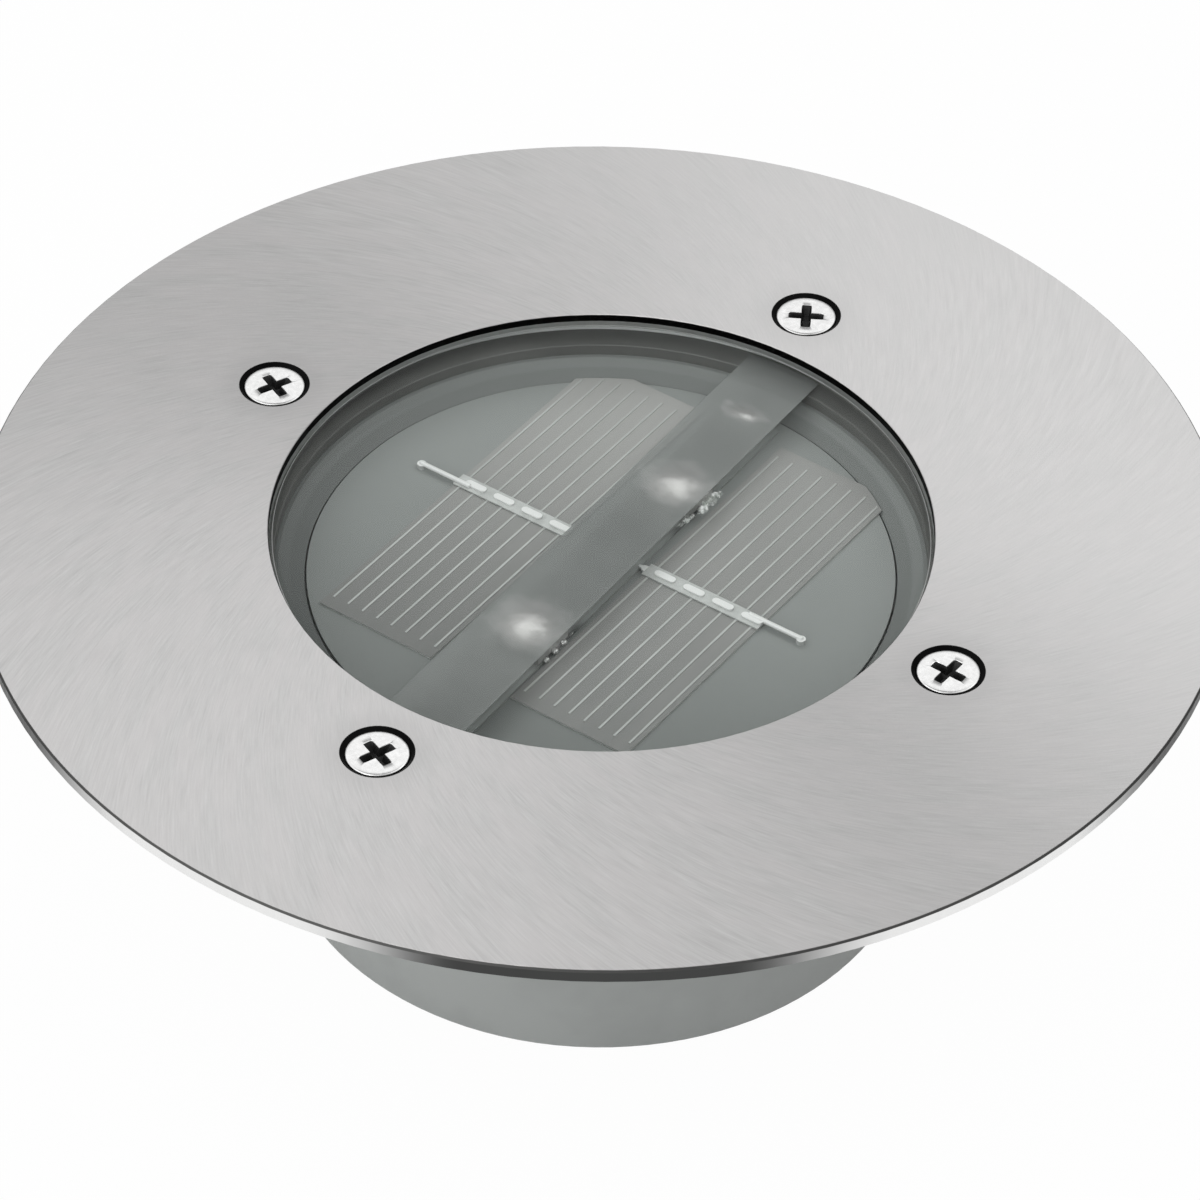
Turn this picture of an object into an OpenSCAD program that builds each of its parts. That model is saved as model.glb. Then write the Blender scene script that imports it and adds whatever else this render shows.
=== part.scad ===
// Solar in-ground well light: steel cover plate, window, light unit and ground pot.
// Millimetres. The origin is the centre of the pot's base and +Z is up.
// The silver lines of the solar cells run along Y.

/* [Pot] */
// Height from the pot's base to the top of the cover plate
total_h = 40; // [39:0.5:60]
// Diameter of the pot
pot_d = 63.4; // [62:0.2:65]
// Wall of the pot
pot_wall = 1.8; // [1.2:0.1:2]
// Floor of the pot
pot_floor = 2; // [1.5:0.1:2.4]
// Diameter of the flange under the cover plate
flange_d = 86; // [85:0.5:92]
// Depth of the flange's skirt below the cover plate
skirt_h = 10.5; // [9:0.5:11]
// Thickness of the flange's deck
deck_t = 2; // [1.5:0.1:3]
// Width of the stiffening ribs under the deck
rib_w = 1.2; // [1:0.1:2]

/* [Cover plate] */
// Diameter of the cover plate
plate_d = 120; // [100:1:140]
// Thickness of the cover plate
plate_t = 1.5; // [1.2:0.1:2.5]
// Diameter of the window hole
window_d = 63.7; // [62:0.1:65]
// Bevel on the plate's edges
rim_bevel = 0.2; // [0.1:0.05:0.4]

/* [Cover screws] */
// Diameter of the circle that the screws stand on
screw_circle_d = 76.3; // [75:0.1:77]
// Angle of the first screw from the X axis
screw_turn = 3.1; // [0:0.1:20]
// Length of a screw with its head
screw_l = 10; // [8:0.5:10]
// Outer diameter of the thread
screw_d = 2.9; // [2.5:0.1:3.1]
// Depth of the thread
thread_depth = 0.25; // [0.15:0.05:0.3]
// Pitch of the thread
thread_pitch = 1.1; // [0.8:0.1:1.4]
// Diameter of the head
head_d = 6; // [5.4:0.1:6.2]
// Height of the head's cone
head_h = 1.3; // [1.2:0.05:1.6]
// Diameter of the countersink at the top of the plate
countersink_d = 7; // [6.8:0.1:7.4]
// Width of a slot of the cross recess
cross_w = 0.9; // [0.7:0.05:1.1]
// Length of a slot of the cross recess
cross_l = 3.6; // [3:0.1:4]
// Depth of the cross recess
cross_h = 1.1; // [0.8:0.1:1.2]

/* [Window] */
// How far the window lies below the top of the plate
lens_recess = 0.8; // [0.5:0.1:1.1]
// Diameter of the window's flange
lens_d = 68; // [67.6:0.1:68.6]
// Thickness of the window's flange
lens_flange_t = 2; // [1.5:0.1:3]
// Width of the bevel round the window's raised middle
lens_bevel = 0.5; // [0.2:0.1:0.6]
// Height of the bevel round the window's raised middle
lens_bevel_h = 0.3; // [0.1:0.05:0.35]
// Width of the frosted strip
strip_w = 8.1; // [6:0.1:10]
// Thickness of the frosted strip
strip_t = 0.5; // [0.3:0.1:1]
// Thickness of the rubber ring under the window
lens_seal_t = 1.25; // [0.8:0.05:2]
// Inner diameter of the rubber ring under the window
lens_seal_in_d = 62.8; // [62.4:0.1:63.4]

/* [Panel] */
// Inner diameter of the tray's rim
ring_d = 62; // [60:0.1:62.2]
// Height of the sloping ring above the panel board
ring_h = 1.05; // [1:0.05:1.8]
// Width of the sloping ring between the rim and the panel board
ring_w = 2.45; // [1.5:0.05:3]
// Thickness of the panel board
board_t = 1.45; // [1.05:0.05:1.85]
// Thickness of the tray's floor
tray_floor_t = 1.2; // [1:0.1:2]
// Width of a solar cell
cell_w = 13.3; // [13:0.1:13.5]
// Length of a solar cell
cell_l = 45.2; // [44:0.2:47]
// Thickness of a solar cell with its glue
cell_t = 0.2; // [0.1:0.05:0.35]
// Distance between the middles of the two cells
cell_spacing = 22.58; // [22.4:0.02:22.8]
// Offset of the pair of cells along X
panel_shift_x = -0.74; // [-0.8:0.02:-0.6]
// Offset of the pair of cells along Y
panel_shift_y = 2.5; // [0:0.1:2.6]
// Number of silver lines on a cell
line_count = 8; // [4:1:8]
// Distance between the silver lines
line_pitch = 1.72; // [1.5:0.01:1.76]
// Length of a silver line
line_l = 42.4; // [40:0.2:43]
// Width of a silver line
line_w = 0.22; // [0.15:0.01:0.4]
// Length of the tinned ribbon across a cell
ribbon_l = 13.5; // [13:0.1:13.6]
// Width of the tinned ribbon
ribbon_w = 1.72; // [1.2:0.02:2]
// Length of a solder run
solder_l = 2.35; // [1.5:0.05:2.6]
// Distance between solder runs
solder_pitch = 3.37; // [3:0.01:3.4]
// Length of the bare lead past the ribbon
lead_l = 4.2; // [3:0.1:4.4]
// Diameter of the bare lead
lead_d = 0.5; // [0.4:0.05:0.7]

/* [Lamps] */
// Turn of the lamp row and its frosted strip from the Y axis
row_turn = 1.7; // [0:0.1:2]
// Width of the lamp board
lamp_board_w = 6.6; // [6.2:0.1:6.8]
// Distance from the lamp board's ends to the panel board's edge
lamp_board_edge = 1.35; // [1.2:0.05:3]
// Thickness of the lamp board
lamp_board_t = 0.25; // [0.2:0.05:0.4]
// Side of a lamp
lamp_w = 5; // [3:0.1:5.2]
// Height of a lamp
lamp_h = 1; // [0.7:0.05:1.4]
// Diameter of a lamp's glowing window
lamp_window_d = 3.8; // [2:0.1:4]
// Distance between the two lamps
lamp_pitch = 25.2; // [20:0.1:32]
// Diameter of the light sensor
sensor_d = 3.7; // [3:0.1:4]
// Diameter of the light sensor's dome
sensor_dome_d = 3; // [2:0.1:3.2]

/* [Light unit] */
// Height of the unit case below the tray
case_h = 17.35; // [17.35:0.05:19]
// Wall of the unit case
case_wall = 1.6; // [1.2:0.1:2]
// Floor of the unit case
case_floor_t = 2.4; // [2.2:0.1:2.6]
// Thickness of the rubber ring under the tray
unit_seal_t = 1; // [0.6:0.1:1.5]
// Diameter of the posts that take the case screws
post_d = 5; // [4.5:0.1:5.2]
// Diameter of a case screw
case_screw_d = 2; // [1.8:0.1:2.4]

/* [Battery] */
// Diameter of the battery
bat_d = 10.5; // [10:0.1:10.5]
// Length of the battery with its nub
bat_l = 44.5; // [42:0.1:44.5]
// Room that the spring takes
spring_l = 4.7; // [4:0.1:5]
// Thickness of the contact plates
contact_t = 0.4; // [0.3:0.05:0.5]
// Wall of the battery pocket
pocket_wall = 1.2; // [1:0.1:1.4]
// Diameter of the lid's hinge pins
pin_d = 1.4; // [1:0.1:1.4]

/* [Circuit] */
// Length of the circuit board
pcb_l = 34; // [32:0.5:35]
// Width of the circuit board
pcb_w = 12; // [11:0.1:12.4]
// Thickness of the circuit board
pcb_t = 1.6; // [1.2:0.1:1.6]
// Diameter of the capacitor
cap_d = 5; // [4:0.1:5.4]
// Height of the capacitor
cap_h = 7; // [5:0.1:8]
// Diameter of the inductor
coil_d = 6.4; // [5:0.1:6.4]
// Height of the inductor
coil_h = 5.6; // [4:0.1:7]

/* [Switch] */
// Length of the switch body
switch_l = 9.6; // [9:0.1:11]
// Width of the switch body
switch_w = 5; // [4.4:0.1:6]
// Height of the switch body
switch_h = 4.2; // [3.6:0.1:5]
// Travel of the knob
switch_travel = 2.5; // [1.5:0.1:3]
// Length of the knob
knob_l = 2.4; // [2:0.1:3]
// Width of the knob
knob_w = 2.2; // [1.6:0.1:2.6]

/* [Hidden] */

// Facets of large and small rounds
fn_big = 128;
fn_small = 32;
// One overrun for all cuts
over = 1;
right_angle = 90;
full_turn = 360;

// Clearances
lens_gap = 0.3;        // window's middle in the plate's hole
seat_gap = 0.3;        // light unit in the pot's recess
case_gap = 0.6;        // unit case in the pot
bore_gap = 0.05;       // screws in their bores
strip_gap = 0.05;      // frosted strip in its groove
board_gap = 0.2;       // panel board in its seat
bat_gap = 0.3;         // battery in its pocket
nub_gap = 0.1;         // battery's nub and its contact
lid_gap = 0.25;        // battery lid in its recess
lid_flush = 0.05;      // battery lid below the case's floor
pin_gap = 0.05;        // hinge pins in their holes
knob_gap = 0.25;       // knob in its slot
wire_gap = 0.3;        // wires in their holes
lead_gap = 0.1;        // bare leads in the holes of the board and the tray
tip_gap = 0.8;         // screw tips above the ends of their bores

// Heights of the stack, worked out from the top of the plate down
plate_top = total_h;
plate_low = plate_top - plate_t;
lens_top = plate_top - lens_recess;
lens_low = plate_low - lens_flange_t;
seal_low = lens_low - lens_seal_t;
board_top = seal_low - ring_h;
board_low = board_top - board_t;
tray_low = board_low - tray_floor_t;
shoulder = tray_low - unit_seal_t;
case_low = tray_low - case_h;
case_floor_top = case_low + case_floor_t;

// Radii of the plate and the pot
plate_r = plate_d / 2;
window_r = window_d / 2;
pot_r = pot_d / 2;
pot_in_r = pot_r - pot_wall;
flange_r = flange_d / 2;
lens_r = lens_d / 2;
recess_r = lens_r + seat_gap;
collar_wall = 2;
collar_r = recess_r + collar_wall;
skirt_wall = 1.8;
skirt_in_r = flange_r - skirt_wall;
skirt_low = plate_low - skirt_h;
base_round = 0.8;
base_groove_r = 20;
base_groove_w = 1;
base_groove_h = 0.4;

// Cover screws
SCREW_COUNT = 4;
screw_r = screw_d / 2;
screw_circle_r = screw_circle_d / 2;
head_sink = 0.15;
head_top = plate_top - head_sink;
neck_r = screw_r - thread_depth;
screw_tip = head_top - screw_l;
point_h = 0.9;
point_r = 0.6;
boss_d = 6.6;
boss_floor = 1;
bore_r = screw_r + bore_gap;
hole_r = bore_r + bore_gap;
bore_low = screw_tip - tip_gap;
boss_low = bore_low - boss_floor;
cross_taper_share = 0.6;
// Turn of each screw's cross recess
CROSS_TURNS = [85, 28, 64, 66];
rib_step = 30;

// Window
plug_r = window_r - lens_gap;
strip_end = 1;
lens_seal_in_r = lens_seal_in_d / 2;

// Panel
ring_r = ring_d / 2;
seat_r = ring_r - ring_w;
board_r = seat_r - board_gap;
seat_lip = 0.15;
cell_top = board_top + cell_t;
ring_slope = (ring_r - seat_r) / (seal_low - board_top + seat_lip);
cell_edge_gap = 0.15;
cell_cut_r = seat_r + ring_slope * seat_lip - cell_edge_gap;
line_edge = 0.2;
line_cut_r = cell_cut_r - line_edge;
grid_t = 0.06;
grid_bar_w = 1.2;
grid_top = cell_top + grid_t;
ribbon_t = 0.14;
solder_w = 0.75;
solder_t = 0.2;
SOLDER_COUNT = 4;
solder_shift = 0.5;
ribbon_drop = 0.3;
lead_skew = 0.35;
lead_r = lead_d / 2;
lead_hole_r = lead_r + lead_gap;
lead_bead_rim = 0.1;
lead_bead_r = lead_hole_r + lead_bead_rim;

// Lamp row
lamp_board_l = 2 * (board_r - lamp_board_edge);
lamp_board_shift = -0.15;
lamp_board_top = board_top + lamp_board_t;
lamp_shift = 0.5;
lamp_dish = 0.15;
sensor_shift = 0.15;
sensor_edge = 1.75;
sensor_rim_h = 0.7;
sensor_dome_rise = 0.3;
led_hole_y = 10.6;
led_hole_r = 2.4;
led_wire_pitch = 1.3;
LED_WIRES = 3;

// Light unit case
case_r = pot_in_r - case_gap;
case_in_r = case_r - case_wall;
post_r = post_d / 2;
column_wall = 0.7;
column_r = post_r + column_wall;
column_h = 3.6;
column_edge = 0.6;
post_circle_r = case_in_r - column_r - column_edge;
POST_COUNT = 3;
post_low = case_floor_top + column_h;
case_screw_r = case_screw_d / 2;
case_head_r = 1.95;
case_head_h = 1.5;
case_web_t = 2.4;
case_screw_l = 8;
case_screw_bite = case_screw_l - case_web_t;
unit_seal_in_edge = 0.7;
unit_seal_out_edge = 0.4;
unit_seal_in_r = pot_in_r + unit_seal_in_edge;
unit_seal_out_r = lens_r - unit_seal_out_edge;

// Battery pocket
bat_r = bat_d / 2;
bat_z = case_floor_top + bat_gap + bat_r;
pocket_top = bat_z + bat_r + bat_gap;
pocket_half_w = bat_r + bat_gap;
pocket_half_l = (bat_l + nub_gap + spring_l + 2 * contact_t) / 2;
NUB = [3.8, 0.8];
plus_face = pocket_half_l - contact_t;
minus_face = contact_t - pocket_half_l;
bat_plus_x = plus_face - nub_gap;
bat_minus_x = bat_plus_x - bat_l;
contact_w = 9;
tab_w = 3;
tab_y = -3.5;
tab_rise = 3.2;
slit_gap = 0.15;
spring_wire_r = 0.3;
spring_big_r = 3.7;
spring_small_r = 2.4;
SPRING_TURNS = 3.5;
SPRING_STEPS = 28;

// Battery lid
lid_lap = 0.7;
lid_t = case_floor_t - 2 * lid_flush;
lid_half_l = pocket_half_l + lid_lap;
lid_half_w = pocket_half_w + lid_lap;
lid_low = case_low + lid_flush;
lid_r = lid_t / 2;
lid_axis_y = lid_r - lid_half_w;
lid_axis_z = lid_low + lid_r;
pin_r = pin_d / 2;
pin_l = 1.5;
grip_w = 0.6;
grip_h = 0.4;
grip_l = 8;
grip_pitch = 1.3;
GRIP_COUNT = 3;

// Circuit board
pcb_drop = 2.05;
pcb_top = tray_low - pcb_drop;
pcb_low = pcb_top - pcb_t;
pcb_edge = 1.6;
pcb_y = pocket_half_w + pocket_wall + pcb_edge + pcb_w / 2;
standoff_edge = 3.5;
standoff_x = pcb_l / 2 - standoff_edge;
standoff_r = 2.2;
board_screw_r = 0.8;
board_head_r = 1.7;
board_head_h = 1.1;
board_screw_bite = 1.9;
chip_size = [5, 4, 1.5];
chip_x = -8;
LEG_COUNT = 4;
leg_size = [0.4, 1, 0.3];
leg_pitch = 1.27;
coil_x = -1.2;
coil_flange_h = 1;
coil_waist = 1;
resistor_x = 4;
resistor_l = 4;
resistor_r = 0.9;
resistor_waist_r = 0.75;
resistor_gap = 0.3;
RESISTOR_SHARES = [-0.24, 0.24];
cap_x = 8.4;
cap_groove = 0.2;

// Switch
switch_y = -15.5;
slot_half_l = (knob_l + switch_travel) / 2 + knob_gap;
slot_half_w = knob_w / 2 + knob_gap;
knob_sink = 0.3;
knob_low = case_low + knob_sink;
knob_grip_h = 0.3;
cavity_h = 1.5;
knob_top = case_floor_top + cavity_h - knob_gap;
terminal_r = 0.35;
terminal_l = 1.7;
terminal_pitch = 2.5;
terminal_top = case_floor_top + switch_h + terminal_l;

// Wires
wire_r = 0.45;
thin_wire_r = 0.4;
WIRE_SIDES = 8;
WIRE_STEPS = 12;
wire_bow = 2.2;
wire_run_rise = 0.8;
wire_run_z = pcb_top + wire_run_rise;
pad_edge = 1.6;
pad_y = pcb_y - pcb_w / 2 + pad_edge;
battery_wire_x = 10.6;
cell_wire_x = 15.6;
switch_wire_x = 4.4;

// A ring with a bore
module ring(r_out, r_in, h, fn = fn_big)
    difference() {
        cylinder(r = r_out, h = h, $fn = fn);
        translate([0, 0, -over])
            cylinder(r = r_in, h = h + 2 * over, $fn = fn);
    }

// A hole or shaft from one height up to another
module shaft(r, z_low, z_top, fn = fn_small)
    translate([0, 0, z_low])
        cylinder(r = r, h = z_top - z_low, $fn = fn);

// Places its children at each cover screw
module at_cover_screws()
    for (i = [0 : SCREW_COUNT - 1])
        rotate([0, 0, screw_turn + i * full_turn / SCREW_COUNT])
            translate([screw_circle_r, 0, 0])
                children();

// Places its children at each case screw, the first one on the +Y side
module at_case_screws()
    for (i = [0 : POST_COUNT - 1])
        rotate([0, 0, right_angle + i * full_turn / POST_COUNT])
            translate([post_circle_r, 0, 0])
                children();

// Places its children at the two board screws
module at_board_screws()
    for (side = [-1, 1])
        translate([side * standoff_x, pcb_y, 0])
            children();

// Turns its children into the lamp row
module in_lamp_row()
    rotate([0, 0, row_turn])
        children();

// Moves its children to a cell: side is -1 for the left one and 1 for the right one
module at_cell(side)
    translate([panel_shift_x + side * cell_spacing / 2, panel_shift_y, 0])
        children();

// Where a cell's lead dives through the board
function lead_x(side) = panel_shift_x + side * (cell_spacing / 2 + ribbon_l / 2 + lead_l);
function lead_y(side) = panel_shift_y - ribbon_drop + side * lead_skew;

// A point at share t along a curve with two ends and two handles
function curve_point(p, t) =
    pow(1 - t, 3) * p[0] + 3 * pow(1 - t, 2) * t * p[1]
    + 3 * (1 - t) * pow(t, 2) * p[2] + pow(t, 3) * p[3];

// The direction of that curve at share t
function curve_way(p, t) =
    pow(1 - t, 2) * (p[1] - p[0]) + 2 * (1 - t) * t * (p[2] - p[1]) + pow(t, 2) * (p[3] - p[2]);

function unit_of(v) = v / norm(v);

// The points of one ring of a tube
function tube_ring(centre, way, ref, r, sides) =
    let (u = unit_of(cross(way, ref)), w = cross(unit_of(way), u))
    [for (k = [0 : sides - 1])
        centre + r * (cos(k * full_turn / sides) * u + sin(k * full_turn / sides) * w)];

// A closed tube through a list of ring centres
module tube(centres, ways, ref, r, sides) {
    last = len(centres) - 1;
    points = [for (i = [0 : last]) each tube_ring(centres[i], ways[i], ref, r, sides)];
    walls = [for (i = [0 : last - 1], k = [0 : sides - 1])
        let (a = i * sides + k, b = i * sides + (k + 1) % sides, c = b + sides, d = a + sides)
        each [[a, d, c], [a, c, b]]];
    start_cap = [for (k = [0 : sides - 1]) k];
    end_cap = [for (k = [sides - 1 : -1 : 0]) last * sides + k];
    polyhedron(points = points, faces = concat(walls, [start_cap, end_cap]));
}

// An insulated wire along a curve
module wire(p, ref, r = wire_r) {
    centres = [for (i = [0 : WIRE_STEPS]) curve_point(p, i / WIRE_STEPS)];
    ways = [for (i = [0 : WIRE_STEPS]) curve_way(p, i / WIRE_STEPS)];
    tube(centres, ways, ref, r, WIRE_SIDES);
}

// The pot: a cup with a flanged top that takes the cover screws
module housing()
    color([0.42, 0.43, 0.43])
        difference() {
            union() {
                rotate_extrude($fn = fn_big)
                    polygon([
                        [0, 0],
                        [pot_r - base_round, 0],
                        [pot_r, base_round],
                        [pot_r, skirt_low],
                        [collar_r, skirt_low],
                        [collar_r, plate_low - deck_t],
                        [skirt_in_r, plate_low - deck_t],
                        [skirt_in_r, skirt_low],
                        [flange_r, skirt_low],
                        [flange_r, plate_low],
                        [recess_r, plate_low],
                        [recess_r, shoulder],
                        [pot_in_r, shoulder],
                        [pot_in_r, pot_floor],
                        [0, pot_floor]
                    ]);
                at_cover_screws()
                    shaft(boss_d / 2, boss_low, plate_low - deck_t / 2);
                for (i = [0 : SCREW_COUNT - 1], side = [-1, 1])
                    rotate([0, 0, screw_turn + i * full_turn / SCREW_COUNT + side * rib_step])
                        flange_rib();
            }
            at_cover_screws() {
                shaft(bore_r, bore_low, plate_low + over);
                countersink();
            }
            base_groove();
        }

// One rib between the pot's collar and the flange's skirt
module flange_rib()
    translate([collar_r - collar_wall / 2, -rib_w / 2, skirt_low + deck_t])
        cube([
            skirt_in_r - collar_r + collar_wall / 2 + skirt_wall / 2,
            rib_w,
            skirt_h - 2 * deck_t + deck_t / 2
        ]);

// Shallow groove in the pot's base
module base_groove()
    translate([0, 0, -over])
        ring(base_groove_r + base_groove_w, base_groove_r, over + base_groove_h);

// Rubber ring between the light unit and the pot's shoulder
module unit_seal()
    color([0.08, 0.08, 0.08])
        translate([0, 0, shoulder])
            ring(unit_seal_out_r, unit_seal_in_r, unit_seal_t);

// Dish that holds the panel, with the posts that hold the case and the circuit board
module panel_tray()
    color([0.36, 0.38, 0.38])
        difference() {
            union() {
                rotate_extrude($fn = fn_big)
                    polygon([
                        [0, tray_low],
                        [lens_r, tray_low],
                        [lens_r, seal_low],
                        [ring_r, seal_low],
                        [seat_r, board_top - seat_lip],
                        [seat_r, board_low],
                        [0, board_low]
                    ]);
                at_case_screws()
                    shaft(post_r, post_low, tray_low + tray_floor_t / 2);
                at_board_screws()
                    shaft(standoff_r, pcb_top, tray_low + tray_floor_t / 2);
            }
            at_case_screws()
                shaft(case_screw_r + bore_gap, post_low - over, post_low + case_screw_bite + tip_gap);
            at_board_screws()
                shaft(board_screw_r + bore_gap, pcb_top - over, pcb_top + board_screw_bite + bore_gap);
            panel_holes();
        }

// Holes in the tray and the panel board for the leads
module panel_holes() {
    translate([0, led_hole_y, 0])
        shaft(led_hole_r, tray_low - over, board_top + over);
    for (side = [-1, 1])
        translate([lead_x(side), lead_y(side), 0])
            shaft(lead_hole_r, tray_low - over, board_top + over);
}

// Cup under the tray with the battery pocket and the switch slot
module unit_case()
    color([0.12, 0.12, 0.13])
        difference() {
            union() {
                translate([0, 0, case_low])
                    ring(case_r, case_in_r, case_h);
                shaft(case_r - case_wall / 2, case_low, case_floor_top, fn_big);
                pocket_block(pocket_wall, case_low, pocket_top + pocket_wall);
                at_case_screws()
                    shaft(column_r, case_low, post_low);
            }
            pocket_block(0, case_low - over, pocket_top);
            lid_recess();
            for (side = [-1, 1])
                translate([side * (pocket_half_l - contact_t / 2), tab_y, pocket_top])
                    cube([contact_t + 2 * slit_gap, tab_w + 2 * slit_gap, 3 * pocket_wall], center = true);
            at_case_screws() {
                shaft(case_head_r + wire_gap, case_low - over, post_low - case_web_t);
                shaft(case_screw_r + 2 * bore_gap, case_low, post_low + over);
            }
            translate([0, switch_y, case_low])
                cube([2 * slot_half_l, 2 * slot_half_w, 2 * case_floor_t + over], center = true);
        }

// A block with the battery pocket's outline, grown by a wall
module pocket_block(wall, z_low, z_top)
    translate([-pocket_half_l - wall, -pocket_half_w - wall, z_low])
        cube([2 * (pocket_half_l + wall), 2 * (pocket_half_w + wall), z_top - z_low]);

// Room for the battery lid and its hinge pins in the case's floor
module lid_recess() {
    translate([-lid_half_l - lid_gap, -lid_half_w - lid_gap, case_low - over])
        cube([2 * (lid_half_l + lid_gap), 2 * (lid_half_w + lid_gap), case_floor_t + over]);
    translate([0, lid_axis_y, lid_axis_z])
        rotate([0, right_angle, 0])
            cylinder(
                r = pin_r + pin_gap,
                h = 2 * (lid_half_l + pin_l + lid_gap),
                center = true,
                $fn = fn_small
            );
}

// Three pan-head screws that hold the case to the tray
module case_screws()
    color([0.75, 0.75, 0.76])
        at_case_screws()
            pan_screw(post_low - case_web_t, case_screw_r, case_screw_l, case_head_r, case_head_h);

// A pan-head screw that points up, its head just under z
module pan_screw(z, r, l, r_head, h_head)
    difference() {
        union() {
            shaft(r, z, z + l);
            translate([0, 0, z])
                rotate_extrude($fn = fn_small)
                    polygon([
                        [0, 0],
                        [r_head, 0],
                        [r_head, -h_head / 2],
                        [r_head - h_head / 3, -h_head],
                        [0, -h_head]
                    ]);
        }
        translate([0, 0, z - h_head])
            cross_cut(r_head / 3, r_head * 4 / 3, h_head / 2);
    }

// A cross recess that is centred on a head's face
module cross_cut(w, l, h)
    for (turn = [0, right_angle])
        rotate([0, 0, turn])
            cube([l, w, 2 * h], center = true);

// Pale disc that carries the cells
module panel_board()
    color([0.55, 0.57, 0.56])
        difference() {
            shaft(board_r, board_low, board_top, fn_big);
            panel_holes();
        }

// One solar cell with its corners cut to the dish
module solar_cell(side)
    color([0.50, 0.51, 0.51])
        intersection() {
            at_cell(side)
                translate([-cell_w / 2, -cell_l / 2, board_top])
                    cube([cell_w, cell_l, cell_t]);
            shaft(cell_cut_r, board_top, cell_top, fn_big);
        }

module solar_cell_left() solar_cell(-1);
module solar_cell_right() solar_cell(1);

// Silver lines of a cell and the printed bar that joins them
module cell_grid(side)
    color([0.75, 0.75, 0.74])
        intersection() {
            at_cell(side)
                union() {
                    for (i = [0 : line_count - 1])
                        translate([(i - (line_count - 1) / 2) * line_pitch, 0, cell_top + grid_t / 2])
                            cube([line_w, line_l, grid_t], center = true);
                    translate([-cell_w / 2 + line_edge, -ribbon_drop - grid_bar_w / 2, cell_top])
                        cube([cell_w - 2 * line_edge, grid_bar_w, grid_t]);
                }
            shaft(line_cut_r, cell_top - over, cell_top + over, fn_big);
        }

module cell_grid_left() cell_grid(-1);
module cell_grid_right() cell_grid(1);

// Tinned ribbon with its solder runs and the lead that dives through the board
module cell_ribbon(side)
    color([0.85, 0.85, 0.84]) {
        at_cell(side)
            translate([0, -ribbon_drop, 0]) {
                translate([-ribbon_l / 2, -ribbon_w / 2, grid_top])
                    cube([ribbon_l, ribbon_w, ribbon_t]);
                for (i = [0 : SOLDER_COUNT - 1])
                    translate([(i - (SOLDER_COUNT - 1) / 2) * solder_pitch + solder_shift, 0, grid_top])
                        solder_run();
            }
        // the bare lead on the panel, its bead and the drop through the board
        translate([lead_x(side), lead_y(side), 0]) {
            shaft(lead_r, tray_low, grid_top + lead_r);
            translate([0, 0, board_top])
                cylinder(r = lead_bead_r, h = grid_top - board_top + lead_r, $fn = fn_small);
            translate([0, 0, grid_top + lead_r])
                sphere(r = lead_r, $fn = fn_small);
            translate([0, 0, grid_top + lead_r])
                rotate([0, -side * right_angle, 0])
                    cylinder(r = lead_r, h = lead_l + ribbon_w, $fn = fn_small);
        }
    }

module cell_ribbon_left() cell_ribbon(-1);
module cell_ribbon_right() cell_ribbon(1);

// A rounded run of solder
module solder_run() {
    half = (solder_l - solder_w) / 2;
    translate([-half, -solder_w / 2, 0])
        cube([2 * half, solder_w, ribbon_t + solder_t]);
    for (end = [-1, 1])
        translate([end * half, 0, 0])
            cylinder(d = solder_w, h = ribbon_t + solder_t, $fn = fn_small);
}

// Dark strip that carries the lamps
module led_board()
    color([0.10, 0.11, 0.11])
        in_lamp_row()
            translate([lamp_board_shift - lamp_board_w / 2, -lamp_board_l / 2, board_top])
                cube([lamp_board_w, lamp_board_l, lamp_board_t]);

// A square lamp with a round window
module lamp(side)
    color([0.92, 0.91, 0.86])
        in_lamp_row()
            translate([lamp_shift, side * lamp_pitch / 2, lamp_board_top])
                difference() {
                    translate([-lamp_w / 2, -lamp_w / 2, 0])
                        cube([lamp_w, lamp_w, lamp_h]);
                    translate([0, 0, lamp_h - lamp_dish])
                        cylinder(d = lamp_window_d, h = lamp_dish + over, $fn = fn_small);
                }

module led_front() lamp(-1);
module led_back() lamp(1);

// Round dusk sensor with a clear dome
module light_sensor()
    color([0.80, 0.82, 0.82])
        in_lamp_row()
            translate([sensor_shift, lamp_board_l / 2 - sensor_edge, lamp_board_top]) {
                cylinder(d = sensor_d, h = sensor_rim_h, $fn = fn_small);
                intersection() {
                    translate([0, 0, sensor_dome_rise])
                        sphere(d = sensor_dome_d, $fn = fn_small);
                    cylinder(d = sensor_d, h = sensor_dome_d, $fn = fn_small);
                }
            }

// Clear window: a flange with a raised middle and a groove for the strip
module lens()
    color([0.85, 0.90, 0.90, 0.35])
        difference() {
            rotate_extrude($fn = fn_big)
                polygon([
                    [0, lens_low],
                    [lens_r, lens_low],
                    [lens_r, plate_low],
                    [plug_r, plate_low],
                    [plug_r, lens_top - lens_bevel_h],
                    [plug_r - lens_bevel, lens_top],
                    [0, lens_top]
                ]);
            strip_block(strip_gap, over);
        }

// The frosted strip's outline, grown by a gap
module strip_block(gap, below)
    intersection() {
        in_lamp_row()
            translate([-strip_w / 2 - gap, -lens_r, lens_low - below])
                cube([strip_w + 2 * gap, 2 * lens_r, strip_t + below]);
        shaft(lens_r - strip_end + gap, lens_low - below, lens_low + strip_t, fn_big);
    }

module diffuser_strip()
    color([0.62, 0.64, 0.63, 0.7])
        strip_block(0, 0);

// Dark rubber ring between the window and the tray
module lens_seal()
    color([0.07, 0.07, 0.07])
        translate([0, 0, seal_low])
            ring(lens_r, lens_seal_in_r, lens_seal_t);

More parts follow.
